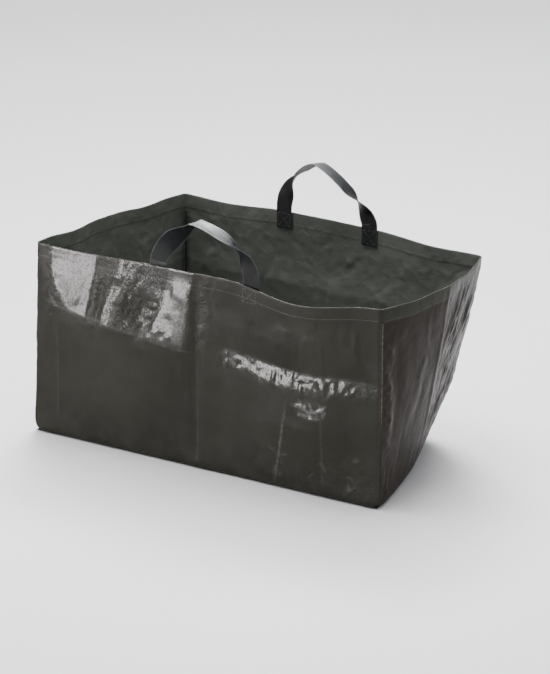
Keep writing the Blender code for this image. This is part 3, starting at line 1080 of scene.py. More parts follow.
class Effects:
    """Shader groups that several finishes share."""

    def __init__(self) -> None:
        """Build every group once."""
        self.weave = self.build_weave()
        self.crinkles = self.build_crinkles()
        self.handling = self.build_handling()

    @staticmethod
    def build_weave() -> bpy.types.NodeTree:
        """Plain weave of flat tapes, one cell for each tape.

        Returns:
            The group.
        """
        plan = GroupPlan("flat_tape_weave", (("Tapes", "NodeSocketVector"),),
                         (("Height", "NodeSocketFloat"), ("Warp", "NodeSocketFloat")))
        bench = plan.bench
        split = bench.add("ShaderNodeSeparateXYZ", {0: plan.give("Tapes")})
        cells = [bench.math("FLOOR", split.outputs[axis]) for axis in (0, 1)]
        parity = bench.math("FLOORED_MODULO", bench.math("ADD", *cells), 2.0)
        places = [bench.math("SUBTRACT", bench.math("FRACT", split.outputs[axis]), 0.5) for axis in (0, 1)]
        bows = [bench.math("SUBTRACT", 1.0, bench.math("MULTIPLY", bench.math("MULTIPLY", place, place), 3.2))
                for place in places]
        edges = [bench.stretch(bench.math("ABSOLUTE", place), 0.38, 0.50, 1.0, 0.25) for place in places]
        warp = bench.math("MULTIPLY", bows[1], edges[0])
        weft = bench.math("MULTIPLY", bows[0], edges[1])
        upper = bench.math("MULTIPLY", warp, bench.math("SUBTRACT", 1.0, parity))
        plan.put("Height", bench.math("ADD", upper, bench.math("MULTIPLY", weft, parity)))
        plan.put("Warp", parity)
        return bench.tree

    @staticmethod
    def build_crinkles() -> bpy.types.NodeTree:
        """Small sharp crinkles of a stiff coated sheet.

        Returns:
            The group.
        """
        plan = GroupPlan("coated_sheet_crinkles",
                         (("Vector", "NodeSocketVector"), ("Amount", "NodeSocketFloat")),
                         (("Height", "NodeSocketFloat"), ("Glint", "NodeSocketFloat")))
        bench = plan.bench
        bend = bench.add("ShaderNodeTexNoise", {"Vector": plan.give("Vector"), "Scale": 42.0, "Detail": 1.0})
        pull = bench.add("ShaderNodeVectorMath", {0: bend.outputs["Color"], 1: (0.5, 0.5, 0.5)}, operation="SUBTRACT")
        push = bench.add("ShaderNodeVectorMath", {0: pull.outputs[0], "Scale": 0.020}, operation="SCALE")
        moved = bench.add("ShaderNodeVectorMath", {0: plan.give("Vector"), 1: push.outputs[0]}, operation="ADD")
        heights = []
        for scale in (85.0, 190.0):
            cells = bench.add("ShaderNodeTexVoronoi", {"Vector": moved.outputs[0], "Scale": scale},
                              feature="DISTANCE_TO_EDGE")
            heights.append(bench.stretch(cells.outputs[0], 0.0, 0.42, 0.0, 1.0))
        fine = bench.cloud(plan.give("Vector"), 420.0, 2.0, 0.6)
        total = bench.math("ADD", heights[0], bench.math("MULTIPLY", heights[1], 0.45))
        total = bench.math("ADD", total, bench.math("MULTIPLY", fine, 0.22))
        drawn = bench.add("ShaderNodeMapping", {"Vector": plan.give("Vector"), "Scale": (95.0, 95.0, 11.0)})
        streaks = bench.cloud(drawn.outputs[0], 1.0, 3.0, 0.6)
        total = bench.math("MULTIPLY", total, plan.give("Amount"))
        plan.put("Height", bench.math("ADD", total, bench.math("MULTIPLY", streaks, 0.85)))
        crest = bench.math("SUBTRACT", 1.0, bench.stretch(heights[0], 0.0, 0.30, 0.0, 1.0))
        plan.put("Glint", bench.math("MULTIPLY", crest, plan.give("Amount")))
        return bench.tree

    @staticmethod
    def build_handling() -> bpy.types.NodeTree:
        """Whitened folds, some of them painted glints, scuffs and fine dust near the floor.

        Returns:
            The group.
        """
        plan = GroupPlan("handling_marks",
                         (("Vector", "NodeSocketVector"), ("Wear", "NodeSocketFloat")),
                         (("Whitening", "NodeSocketFloat"), ("Dust", "NodeSocketFloat"),
                          ("Patch", "NodeSocketFloat")))
        bench = plan.bench
        broken = bench.stretch(bench.cloud(plan.give("Vector"), 150.0, 3.0, 0.65), 0.36, 0.60, 0.30, 1.0)
        plan.put("Whitening", bench.math("MULTIPLY", broken, bench.math("POWER", plan.give("Wear"), 1.5)))
        split = bench.add("ShaderNodeSeparateXYZ", {0: plan.give("Vector")})
        low = bench.stretch(split.outputs[2], 0.0, 0.070, 1.0, 0.0)
        grime = bench.stretch(bench.cloud(plan.give("Vector"), 38.0, 4.0, 0.6), 0.45, 0.75, 0.0, 1.0)
        plan.put("Dust", bench.math("MULTIPLY", bench.math("ADD", bench.math("MULTIPLY", low, 0.7), 0.12), grime))
        plan.put("Patch", bench.cloud(plan.give("Vector"), 6.5, 3.0, 0.55))
        return bench.tree


def new_material(name: str) -> tuple[bpy.types.Material, NodeBench, bpy.types.Node]:
    """An empty material with its shader.

    Args:
        name: name of the finish.

    Returns:
        The material, a bench for its nodes, and its shader.
    """
    material = bpy.data.materials.new(name)
    material.use_nodes = True
    bench = NodeBench(material.node_tree)
    return material, bench, material.node_tree.nodes["Principled BSDF"]


def shade(colour: Colour, factor: float) -> Colour:
    """A lighter or darker shade of a colour."""
    return tuple(min(1.0, value * factor) for value in colour[:3]) + (1.0,)


@dataclass(frozen=True)
class SheetFinish:
    """Coated woven sheet: the film's gloss, the tapes under it, and its handling marks, whose whitening is partly a
    painted glint.
    """

    name: str
    colour: Colour = (0.0322, 0.0320, 0.0254, 1.0)
    tape_colour: Colour = (0.0262, 0.0261, 0.0212, 1.0)
    white_colour: Colour = (0.42, 0.42, 0.41, 1.0)
    dust_colour: Colour = (0.045, 0.043, 0.036, 1.0)
    tapes_per_metre: float = 420.0
    tape_height: float = 0.00006
    crinkle_height: float = 0.00045
    roughness: Place = (0.27, 0.40)
    specular: float = 0.022
    coat: Place = (0.0, 0.33)
    coat_roughness: float = 0.14
    coat_ior: float = 1.34

    def make(self, effects: Effects) -> bpy.types.Material:
        """Build the material.

        Args:
            effects: the shared shader groups.

        Returns:
            The material.
        """
        material, bench, shader = new_material(self.name)
        place = bench.add("ShaderNodeTexCoord")
        tapes = bench.add("ShaderNodeMapping", {"Vector": place.outputs["UV"], "Scale": (self.tapes_per_metre,) * 3})
        weave = bench.group(effects.weave, Tapes=tapes.outputs[0])
        crinkles = bench.group(effects.crinkles, Vector=place.outputs["Object"], Amount=bench.attribute("crinkle"))
        marks = bench.group(effects.handling, Vector=place.outputs["Object"], Wear=bench.attribute("wear"))
        tint = bench.blend(weave.outputs["Warp"], self.colour, self.tape_colour)
        faded = bench.stretch(marks.outputs["Patch"], 0.35, 0.70, 0.0, 0.7)
        tint = bench.blend(faded, tint, shade(self.colour, 1.35))
        tint = bench.blend(marks.outputs["Dust"], tint, self.dust_colour)
        tint = bench.blend(bench.math("MULTIPLY", crinkles.outputs["Glint"], 0.012), tint, self.white_colour)
        # Whitening mixes crease wear with painted glints on the front's scribble and along the front right seam.
        tint = bench.blend(marks.outputs["Whitening"], tint, self.white_colour)
        bench.feed(shader.inputs["Base Color"], tint)
        gloss = bench.stretch(marks.outputs["Patch"], 0.30, 0.70, *self.roughness)
        gloss = bench.math("ADD", gloss, bench.math("MULTIPLY", marks.outputs["Dust"], 0.25), clamp=True)
        bench.feed(shader.inputs["Roughness"], gloss)
        specks = bench.stretch(bench.cloud(place.outputs["Object"], 230.0, 2.0, 0.6), 0.37, 0.63, 0.0, 1.0)
        cover = bench.stretch(bench.attribute("shine"), 0.0, 1.0, -0.95, 0.75)
        film = bench.math("ADD", specks, cover, clamp=True)
        film = bench.math("MULTIPLY", film, bench.stretch(marks.outputs["Patch"], 0.35, 0.65, 1.0, 0.75))
        bench.feed(shader.inputs["Coat Weight"], bench.stretch(film, 0.0, 1.0, *self.coat))
        shader.inputs["Coat Roughness"].default_value = self.coat_roughness
        shader.inputs["Specular IOR Level"].default_value = self.specular
        shader.inputs["Coat IOR"].default_value = self.coat_ior
        fine = bench.bump(weave.outputs["Height"], self.tape_height)
        bench.feed(shader.inputs["Normal"], bench.bump(crinkles.outputs["Height"], self.crinkle_height, Normal=fine))
        return material


@dataclass(frozen=True)
class WebbingFinish:
    """Woven webbing or tape: ribs across, threads along, a little shine."""

    name: str
    colour: Colour = (0.0070, 0.0086, 0.0088, 1.0)
    lit_colour: Colour = (0.015, 0.017, 0.018, 1.0)
    edge_colour: Colour = (0.090, 0.092, 0.094, 1.0)
    width: float = STRAP_WIDTH
    selvedge: Place = (0.0022, 0.0010)
    ribs: tuple[float, float, float] = (620.0, 900.0, 1.0)
    rib_height: float = 0.00018
    roughness: Place = (0.30, 0.44)
    specular: float = 0.03
    coat: Place = (0.0, 0.045)
    coat_roughness: float = 0.20

    def make(self, effects: Effects) -> bpy.types.Material:
        """Build the material.

        Args:
            effects: the shared shader groups.

        Returns:
            The material.
        """
        material, bench, shader = new_material(self.name)
        place = bench.add("ShaderNodeTexCoord")
        ribs = bench.add("ShaderNodeMapping", {"Vector": place.outputs["UV"], "Scale": self.ribs})
        weave = bench.group(effects.weave, Tapes=ribs.outputs[0])
        marks = bench.group(effects.handling, Vector=place.outputs["Object"], Wear=0.0)
        # Raised ribs are painted lighter, a painted highlight on their tops; the fray below reuses that colour.
        high = bench.stretch(weave.outputs["Height"], 0.2, 1.0, 0.0, 0.55)
        tint = bench.blend(high, self.colour, self.lit_colour)
        fray = bench.stretch(bench.cloud(place.outputs["Object"], 260.0, 3.0, 0.7), 0.55, 0.80, 0.0, 0.35)
        tint = bench.blend(fray, tint, self.lit_colour)
        split = bench.add("ShaderNodeSeparateXYZ", {0: place.outputs["UV"]})
        half = self.width / 2
        off_middle = bench.math("ABSOLUTE", bench.math("SUBTRACT", split.outputs[0], half))
        selvedge = bench.stretch(off_middle, half - self.selvedge[0], half - self.selvedge[1], 0.0, 0.6)
        bench.feed(shader.inputs["Base Color"], bench.blend(selvedge, tint, self.edge_colour))
        gloss = bench.stretch(marks.outputs["Patch"], 0.3, 0.7, *self.roughness)
        bench.feed(shader.inputs["Roughness"], gloss)
        bench.feed(shader.inputs["Coat Weight"], bench.stretch(weave.outputs["Height"], 0.3, 1.0, *self.coat))
        shader.inputs["Coat Roughness"].default_value = self.coat_roughness
        shader.inputs["Specular IOR Level"].default_value = self.specular
        bench.feed(shader.inputs["Normal"], bench.bump(weave.outputs["Height"], self.rib_height))
        return material


@dataclass(frozen=True)
class ThreadFinish:
    """Dark sewing thread with a fine twist."""

    name: str = "sewing_thread"
    colour: Colour = (0.045, 0.046, 0.044, 1.0)
    twist_height: float = 0.0001

    def make(self) -> bpy.types.Material:
        """Build the material.

        Returns:
            The material.
        """
        material, bench, shader = new_material(self.name)
        place = bench.add("ShaderNodeTexCoord")
        twist = bench.cloud(place.outputs["Object"], 1400.0, 1.0, 0.5)
        bench.feed(shader.inputs["Base Color"], bench.blend(twist, self.colour, shade(self.colour, 2.2)))
        bench.feed(shader.inputs["Roughness"], bench.stretch(twist, 0.3, 0.7, 0.45, 0.62))
        bench.feed(shader.inputs["Normal"], bench.bump(twist, self.twist_height, Strength=0.6))
        return material


@dataclass(frozen=True)
class FloorFinish:
    """Pale studio floor with a trace of unevenness."""

    name: str = "studio_floor"
    colour: Colour = (0.89, 0.89, 0.905, 1.0)
    roughness: float = 0.75
    specular: float = 0.25

    def make(self) -> bpy.types.Material:
        """Build the material.

        Returns:
            The material.
        """
        material, bench, shader = new_material(self.name)
        place = bench.add("ShaderNodeTexCoord")
        drift = bench.cloud(place.outputs["Object"], 1.4, 2.0, 0.5)
        bench.feed(shader.inputs["Base Color"], bench.blend(drift, self.colour, shade(self.colour, 0.985)))
        shader.inputs["Roughness"].default_value = self.roughness
        shader.inputs["Specular IOR Level"].default_value = self.specular
        return material


class Finishes:
    """Every material of the bag, built once."""

    def __init__(self) -> None:
        """Build the finishes."""
        effects = Effects()
        self.outside = SheetFinish("coated_sheet_outside").make(effects)
        self.inside = SheetFinish(
            "coated_sheet_inside", colour=(0.108, 0.116, 0.101, 1.0), tape_colour=(0.090, 0.097, 0.085, 1.0),
            white_colour=(0.13, 0.14, 0.13, 1.0), dust_colour=(0.086, 0.090, 0.078, 1.0),
            roughness=(0.38, 0.55), coat=(0.02, 0.08), crinkle_height=0.00024,
        ).make(effects)
        # The end wall's copy of the sheet is darker and browner: painted shade with a painted warm cast, and browner
        # whitening.
        self.end = SheetFinish(
            "coated_sheet_end", colour=(0.0245, 0.0200, 0.0165, 1.0), tape_colour=(0.0200, 0.0164, 0.0136, 1.0),
            white_colour=(0.34, 0.29, 0.27, 1.0), coat=(0.0, 0.16),
        ).make(effects)
        self.hem = SheetFinish(
            "folded_hem_sheet", colour=(0.0335, 0.0335, 0.0268, 1.0), tape_colour=(0.0275, 0.0276, 0.0226, 1.0),
            crinkle_height=0.00030,
        ).make(effects)
        self.webbing = WebbingFinish("strap_webbing").make(effects)
        self.tape = WebbingFinish(
            "seam_binding_tape", width=BINDING_WIDTH, colour=(0.040, 0.044, 0.041, 1.0),
            lit_colour=(0.058, 0.062, 0.058, 1.0), edge_colour=(0.030, 0.032, 0.032, 1.0),
            ribs=(900.0, 1100.0, 1.0), rib_height=0.00012, roughness=(0.45, 0.65),
        ).make(effects)
        self.thread = ThreadFinish().make()


# Sub-assemblies


@dataclass
class WallPanels:
    """The four wall sheets, turned under at the floor and in at the corner seams."""

    surface: Surface
    finishes: Finishes
    floor_round: float = 0.009
    floor_turns: int = 6
    corner_pull: float = 0.007
    corner_reach: float = 0.030
    turn_under: float = 0.016
    seam_groove: float = 0.0013
    seam_wear: float = 0.18
    front_right_wear: float = 0.50
    seam_crest: float = 0.0022
    seam_crest_reach: float = 0.0013
    row_step: float = 0.0034
    hidden_in_hem: float = 0.0078
    column_steps: tuple[float, ...] = (0.0031, 0.0031, 0.0046, 0.0046)
    edge_steps: tuple[float, ...] = (0.0, 0.0008, 0.0018, 0.0034)

    def rows(self) -> tuple[np.ndarray, np.ndarray]:
        """Height share and inset of every row, from under the bag to inside the hem.

        Returns:
            Shares of the height, and insets in metres.
        """
        height = self.surface.form.height
        turns = np.linspace(0.0, pi / 2, self.floor_turns)
        low_heights = self.floor_round * (1.0 - np.cos(turns))
        low_insets = self.floor_round * (1.0 - np.sin(turns))
        top = height - self.hidden_in_hem
        count = int(round((top - self.floor_round) / self.row_step))
        high = np.linspace(self.floor_round, top, count + 1)[1:]
        heights = np.concatenate(((0.0, 0.0), low_heights, high))
        flange = (self.floor_round + self.turn_under, self.floor_round + self.turn_under / 2)
        insets = np.concatenate((flange, low_insets, np.zeros(len(high))))
        return heights / height, insets

    def build_wall(self, side: Side) -> bpy.types.Object:
        """Make one panel.

        Args:
            side: the wall.

        Returns:
            The piece.
        """
        form = self.surface.form
        start, length = form.span(side)
        places = stations(0.0, length, self.column_steps[side.value], self.edge_steps)
        places = np.clip(places, NUDGE, length - NUDGE)
        piece, _, along, up, inset = sheet_grid(side.name.lower() + "_wall_sheet", places, *self.rows())
        edge = np.minimum(along, length - along)
        near = np.clip(1.0 - edge / self.corner_reach, 0.0, 1.0)
        low = np.clip(1.0 - up * form.height / self.corner_reach, 0.0, 1.0)
        inset = inset + self.corner_pull * near ** 2 * low ** 2
        groove = -self.seam_groove * ridge(edge, SEAM_REACH)
        points, _, crinkle, wear = self.surface.walk(start + along, up, inset, groove)
        lay_points(piece, points, np.column_stack((start + along, up * form.height - inset)))
        # The extra whitening near the front right corner paints a highlight line along its seam; the other seams'
        # whitening is wear.
        near_corner = (side is Side.RIGHT) * smooth(0.05 - along, 0.0, 0.01) * smooth(up, 0.30, 0.55)
        seam_wear = self.seam_wear + self.front_right_wear * near_corner
        seam_wear = seam_wear * ridge(edge - self.seam_crest, self.seam_crest_reach)
        paint(piece, "crinkle", crinkle)
        paint(piece, "wear", np.maximum(wear, seam_wear))
        paint(piece, "shine", self.surface.relief.shine(np.full(up.shape, side.value), along / length, up))
        # The end wall takes the darker, browner copy of the sheet: painted shade with a painted warm cast.
        outside = self.finishes.end if side is Side.RIGHT else self.finishes.outside
        dress(piece, Slot.SHEET, outside, self.finishes.inside)
        thicken(piece, SHEET, inner_material=1)
        smooth_piece(piece, 50.0)
        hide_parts(side.name.lower() + "_wall")
        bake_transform(piece)
        return piece

    def build(self) -> list[bpy.types.Object]:
        """Make the four panels."""
        return [self.build_wall(side) for side in Side]


@dataclass
class BaseSheet:
    """The bottom sheet, which lies over the walls' turned-under edges."""

    surface: Surface
    finishes: Finishes
    inset: float = 0.0052
    gap: float = 0.0003
    columns: int = 150
    rows: int = 90
    wave_height: float = 0.0011
    wave_scale: float = 16.0
    creases: tuple[tuple[float, float, float], ...] = ((0.0016, 0.49, 0.012), (0.0014, 0.51, 0.02))

    def edge(self, side: Side, share: np.ndarray) -> np.ndarray:
        """Points of the sheet's outline along one wall.

        Args:
            side: the wall.
            share: share along it.

        Returns:
            One row of x, y and z for each place.
        """
        start, length = self.surface.form.span(side)
        distance = start + np.clip(share, NUDGE, 1.0 - NUDGE) * length
        return self.surface.form.sharp(distance, np.zeros(share.shape), np.full(share.shape, self.inset))

    def build(self) -> bpy.types.Object:
        """Make the sheet, ruled between its four edges and creased where it was folded.

        Returns:
            The piece.
        """
        piece, column, row = unit_grid("base_sheet", self.columns, self.rows)
        across, back = column / self.columns, row / self.rows
        front, rear = self.edge(Side.FRONT, across), self.edge(Side.BACK, 1.0 - across)
        left, right = self.edge(Side.LEFT, 1.0 - back), self.edge(Side.RIGHT, back)
        zero, one = np.zeros(across.shape), np.ones(across.shape)
        u, v = across[:, None], back[:, None]
        ruled = front + (rear - front) * v + left + (right - left) * u
        near = self.edge(Side.FRONT, zero) + (self.edge(Side.FRONT, one) - self.edge(Side.FRONT, zero)) * u
        far = self.edge(Side.BACK, one) + (self.edge(Side.BACK, zero) - self.edge(Side.BACK, one)) * u
        points = ruled - (near + (far - near) * v)
        inner = smooth(np.minimum(np.minimum(across, 1.0 - across), np.minimum(back, 1.0 - back)), 0.0, 0.10)
        wave = np.array([noise.noise(Vector(point) * self.wave_scale) for point in points])
        press = sum(
            tall * ridge(share - place, reach) for share, (tall, place, reach) in zip((across, back), self.creases)
        )
        level = self.surface.form.lift(across, back) + SHEET * 1.5 + self.gap
        points[:, 2] = level + inner * (self.wave_height * (wave + 0.7) + press)
        lay_points(piece, points, points[:, :2])
        paint(piece, "crinkle", 0.30 + 0.25 * inner)
        paint(piece, "wear", np.clip(press * 170.0, 0.0, 0.3))
        dress(piece, Slot.SHEET, self.finishes.inside, self.finishes.outside)
        thicken(piece, SHEET, inner_material=1)
        smooth_piece(piece)
        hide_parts("base_panel")
        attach(piece, Body.BASE.value)
        return piece


@dataclass
class RimHem:
    """The walls' top edges, folded over and sewn down."""

    surface: Surface
    finishes: Finishes
    leaf_offset: float = 0.00085
    height: float = 0.026
    row_step: float = 0.0032
    column_step: float = 0.0034
    edge_steps: tuple[float, ...] = (0.0, 0.0010, 0.0022)
    fold_turns: int = 7
    seam_groove: float = 0.0010
    sewn_dent: float = 0.00025
    crest_drop: float = 0.0012
    crest_wear: float = 0.10
    line_reach: float = 0.0016

    def section(self) -> tuple[np.ndarray, np.ndarray]:
        """Every row round the fold, from the outer leaf's hem line to the inner one's.

        Returns:
            Drop below the rim, and outward offset, both in metres.
        """
        count = int(round(self.height / self.row_step))
        drops = np.linspace(self.height, 0.0, count + 1)
        turns = np.linspace(0.0, pi, self.fold_turns)[1:-1]
        drop = np.concatenate((drops, -self.leaf_offset * np.sin(turns), drops[::-1]))
        off = np.concatenate((np.full(len(drops), 1.0), np.cos(turns), np.full(len(drops), -1.0)))
        return drop + self.leaf_offset + HEM_LEAF / 2, off * self.leaf_offset

    def build_hem(self, side: Side) -> bpy.types.Object:
        """Make the hem of one wall.

        Args:
            side: the wall.

        Returns:
            The piece.
        """
        form = self.surface.form
        start, length = form.span(side)
        places = np.clip(stations(0.0, length, self.column_step, self.edge_steps), NUDGE, length - NUDGE)
        drops, offs = self.section()
        piece, rows, along, drop, off = sheet_grid(side.name.lower() + "_rim_hem", places, drops, offs)
        groove = -self.seam_groove * ridge(np.minimum(along, length - along), SEAM_REACH)
        sewn = self.sewn_dent * ridge(drop - HEM_SEAM_DROP, self.line_reach) * np.sign(off)
        up = 1.0 - drop / form.height
        points, _, crinkle, wear = self.surface.walk(start + along, up, np.zeros(up.shape), off + groove - sewn)
        lay_points(piece, points, np.column_stack((start + along, rows * self.row_step)))
        crest = self.crest_wear * ridge(drop - self.crest_drop, self.line_reach)
        paint(piece, "crinkle", crinkle)
        paint(piece, "wear", np.maximum(wear * 0.6, crest))
        paint(piece, "shine", self.surface.relief.shine(np.full(up.shape, side.value), along / length, up))
        dress(piece, Slot.HEM, self.finishes.hem, self.finishes.inside)
        inner_leaf = (len(drops) - 1) / 2 + 1
        for face in piece.data.polygons:
            face.material_index = int(np.mean(rows[list(face.vertices)]) > inner_leaf)
        thicken(piece, HEM_LEAF)
        smooth_piece(piece, 50.0)
        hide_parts("hem_" + side.name.lower())
        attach(piece, Body.RIM.value)
        return piece

    def build(self) -> list[bpy.types.Object]:
        """Make the hem of each wall."""
        return [self.build_hem(side) for side in Side]


@dataclass
class Stitching:
    """Rows of stitches, all copies of one short thread."""

    name: str
    finishes: Finishes
    slot: Slot
    body: Body
    length: float = 0.0036
    pitch: float = 0.0052
    width: float = 0.00055
    centres: list[np.ndarray] = field(default_factory=list)
    alongs: list[np.ndarray] = field(default_factory=list)
    outwards: list[np.ndarray] = field(default_factory=list)

    def run(self, path: np.ndarray, normals: np.ndarray) -> None:
        """Sew along a path.

        Args:
            path: points on the sewn surface, close together.
            normals: the surface's normals there.
        """
        marks = running_sum(step_lengths(path))
        count = max(int(marks[-1] / self.pitch), 1)
        middles = (np.arange(count) + 0.5) * marks[-1] / count
        first, centre, last = (follow(middles + shift * self.length, marks, path) for shift in (-0.5, 0.0, 0.5))
        self.centres.append(centre)
        self.alongs.append(unit_rows(last - first))
        self.outwards.append(unit_rows(follow(middles, marks, normals)))

    def template(self) -> bpy.types.Object:
        """One stitch, along X.

        Returns:
            The piece.
        """
        start_piece()
        bpy.ops.mesh.primitive_uv_sphere_add(segments=6, ring_count=4, radius=0.5)
        stitch = name_piece(self.name)
        bpy.ops.object.mode_set(mode="EDIT")
        bpy.ops.mesh.select_all(action="SELECT")
        bpy.ops.transform.resize(value=(self.length, self.width, self.width * 0.8))
        bpy.ops.object.mode_set(mode="OBJECT")
        return stitch

    def build(self) -> bpy.types.Object:
        """Copy the stitch to every place and join the copies.

        Returns:
            The piece.
        """
        piece = self.template()
        mesh = piece.data
        shape = np.array([tuple(vertex.co) for vertex in mesh.vertices])
        faces = sorted(tuple(face.vertices) for face in mesh.polygons)
        centres, alongs = np.concatenate(self.centres), np.concatenate(self.alongs)
        outwards = np.concatenate(self.outwards)
        sideways = unit_rows(np.cross(outwards, alongs))
        outwards = np.cross(alongs, sideways)
        points = (
            centres[:, None, :]
            + shape[None, :, 0, None] * alongs[:, None, :]
            + shape[None, :, 1, None] * sideways[:, None, :]
            + shape[None, :, 2, None] * outwards[:, None, :]
        ).reshape(-1, 3)
        starts = range(0, len(points), len(shape))
        rings = [tuple(start + index for index in face) for start in starts for face in faces]
        mesh.clear_geometry()
        mesh.from_pydata(points.tolist(), [], rings)
        mesh.update()
        dress(piece, self.slot, self.finishes.thread)
        smooth_piece(piece, 80.0)
        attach(piece, self.body.value)
        return piece


@dataclass
class HemStitches:
    """The line of stitches that holds the hem down, outside and inside."""

    surface: Surface
    finishes: Finishes
    line_drop: float = HEM_SEAM_DROP + 0.0009
    off_sheet: float = 0.00105
    end_gap: float = 0.006
    step: float = 0.002

    def build(self) -> bpy.types.Object:
        """Sew round the rim on both faces.

        Returns:
            The piece.
        """
        form = self.surface.form
        thread = Stitching("hem_stitches", self.finishes, Slot.HEM, Body.RIM)
        for side in Side:
            start, length = form.span(side)
            distance = start + np.arange(self.end_gap, length - self.end_gap, self.step)
            up = np.full(distance.shape, 1.0 - self.line_drop / form.height)
            for sign in (1.0, -1.0):
                off = np.full(distance.shape, sign * self.off_sheet)
                points, normals, _, _ = self.surface.walk(distance, up, np.zeros(up.shape), off)
                thread.run(points, normals * sign)
        return thread.build()


@dataclass
class SeamBindings:
    """Tape-bound seam allowances inside the corners and round the bottom."""

    surface: Surface
    finishes: Finishes
    width: float = BINDING_WIDTH
    thickness: float = 0.0018
    standoff: float = 0.0020
    waver: float = 0.0012
    edge_round: float = 0.0006
    columns: int = 4
    corner_names: tuple[str, ...] = ("front_left", "front_right", "back_right", "back_left")
    corner_rows: int = 90
    corner_start: float = 0.034
    corner_drop: float = 0.031
    base_step: float = 0.006
    base_end_gap: float = 0.013
    base_rise: float = 0.004
    base_inset: float = 0.0030

    def strip(self, name: str, roots: np.ndarray, inward: np.ndarray, node: str) -> bpy.types.Object:
        """One bound edge that stands on a seam.

        Args:
            name: name of the piece.
            roots: points along the seam.
            inward: unit directions that the allowance stands in.
            node: the solid that it replaces.

        Returns:
            The piece.
        """
        piece, columns, rows = unit_grid(name, len(roots) - 1, self.columns)
        index, reach = np.rint(columns).astype(int), rows / self.columns
        waver = np.array([noise.noise(Vector(point) * 30.0) for point in roots])
        sideways = unit_rows(np.cross(np.gradient(roots, axis=0), inward))
        lean = sideways[index] * (waver[index] * self.waver * reach)[:, None]
        points = roots[index] + inward[index] * (self.standoff + self.width * reach)[:, None] + lean
        marks = running_sum(step_lengths(roots))
        lay_points(piece, points, np.column_stack((reach * self.width, marks[index])))
        dress(piece, Slot.TAPE, self.finishes.tape)
        thicken(piece, self.thickness)
        soften_edges(piece, self.edge_round)
        smooth_piece(piece, 60.0)
        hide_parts(node)
        return piece

    def bind_corner(self, index: int, corner: str) -> bpy.types.Object:
        """Make one upright binding.

        Args:
            index: number of the corner and its wall.
            corner: its name.

        Returns:
            The piece.
        """
        form = self.surface.form
        up = np.linspace(self.corner_start, 1.0 - self.corner_drop / form.height, self.corner_rows)
        distance, still = np.full(up.shape, form.side_starts()[index]), np.zeros(up.shape)
        points, normals, _, _ = self.surface.walk(distance, up, still, still)
        piece = self.strip("corner_binding_" + corner, points, -normals, "corner_seam_" + corner)
        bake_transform(piece)
        return piece

    def bind_base(self, side: Side) -> bpy.types.Object:
        """Make the binding at the foot of one wall.

        Args:
            side: the wall.

        Returns:
            The piece.
        """
        form, name = self.surface.form, side.name.lower()
        start, length = form.span(side)
        distance = start + np.linspace(self.base_end_gap, length - self.base_end_gap, int(length / self.base_step))
        up = np.full(distance.shape, self.base_rise)
        outward = form.normals(distance, up, np.zeros(distance.shape))
        roots = form.sharp(distance, up, np.full(distance.shape, self.base_inset))
        inward = unit_rows(np.array(UP) - outward * 0.8)
        piece = self.strip("base_binding_" + name, roots, inward, "base_seam_" + name)
        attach(piece, Body.BASE.value)
        return piece

    def build(self) -> list[bpy.types.Object]:
        """Make the four upright and the four bottom bindings."""
        uprights = [self.bind_corner(index, corner) for index, corner in enumerate(self.corner_names)]
        return uprights + [self.bind_base(side) for side in Side]


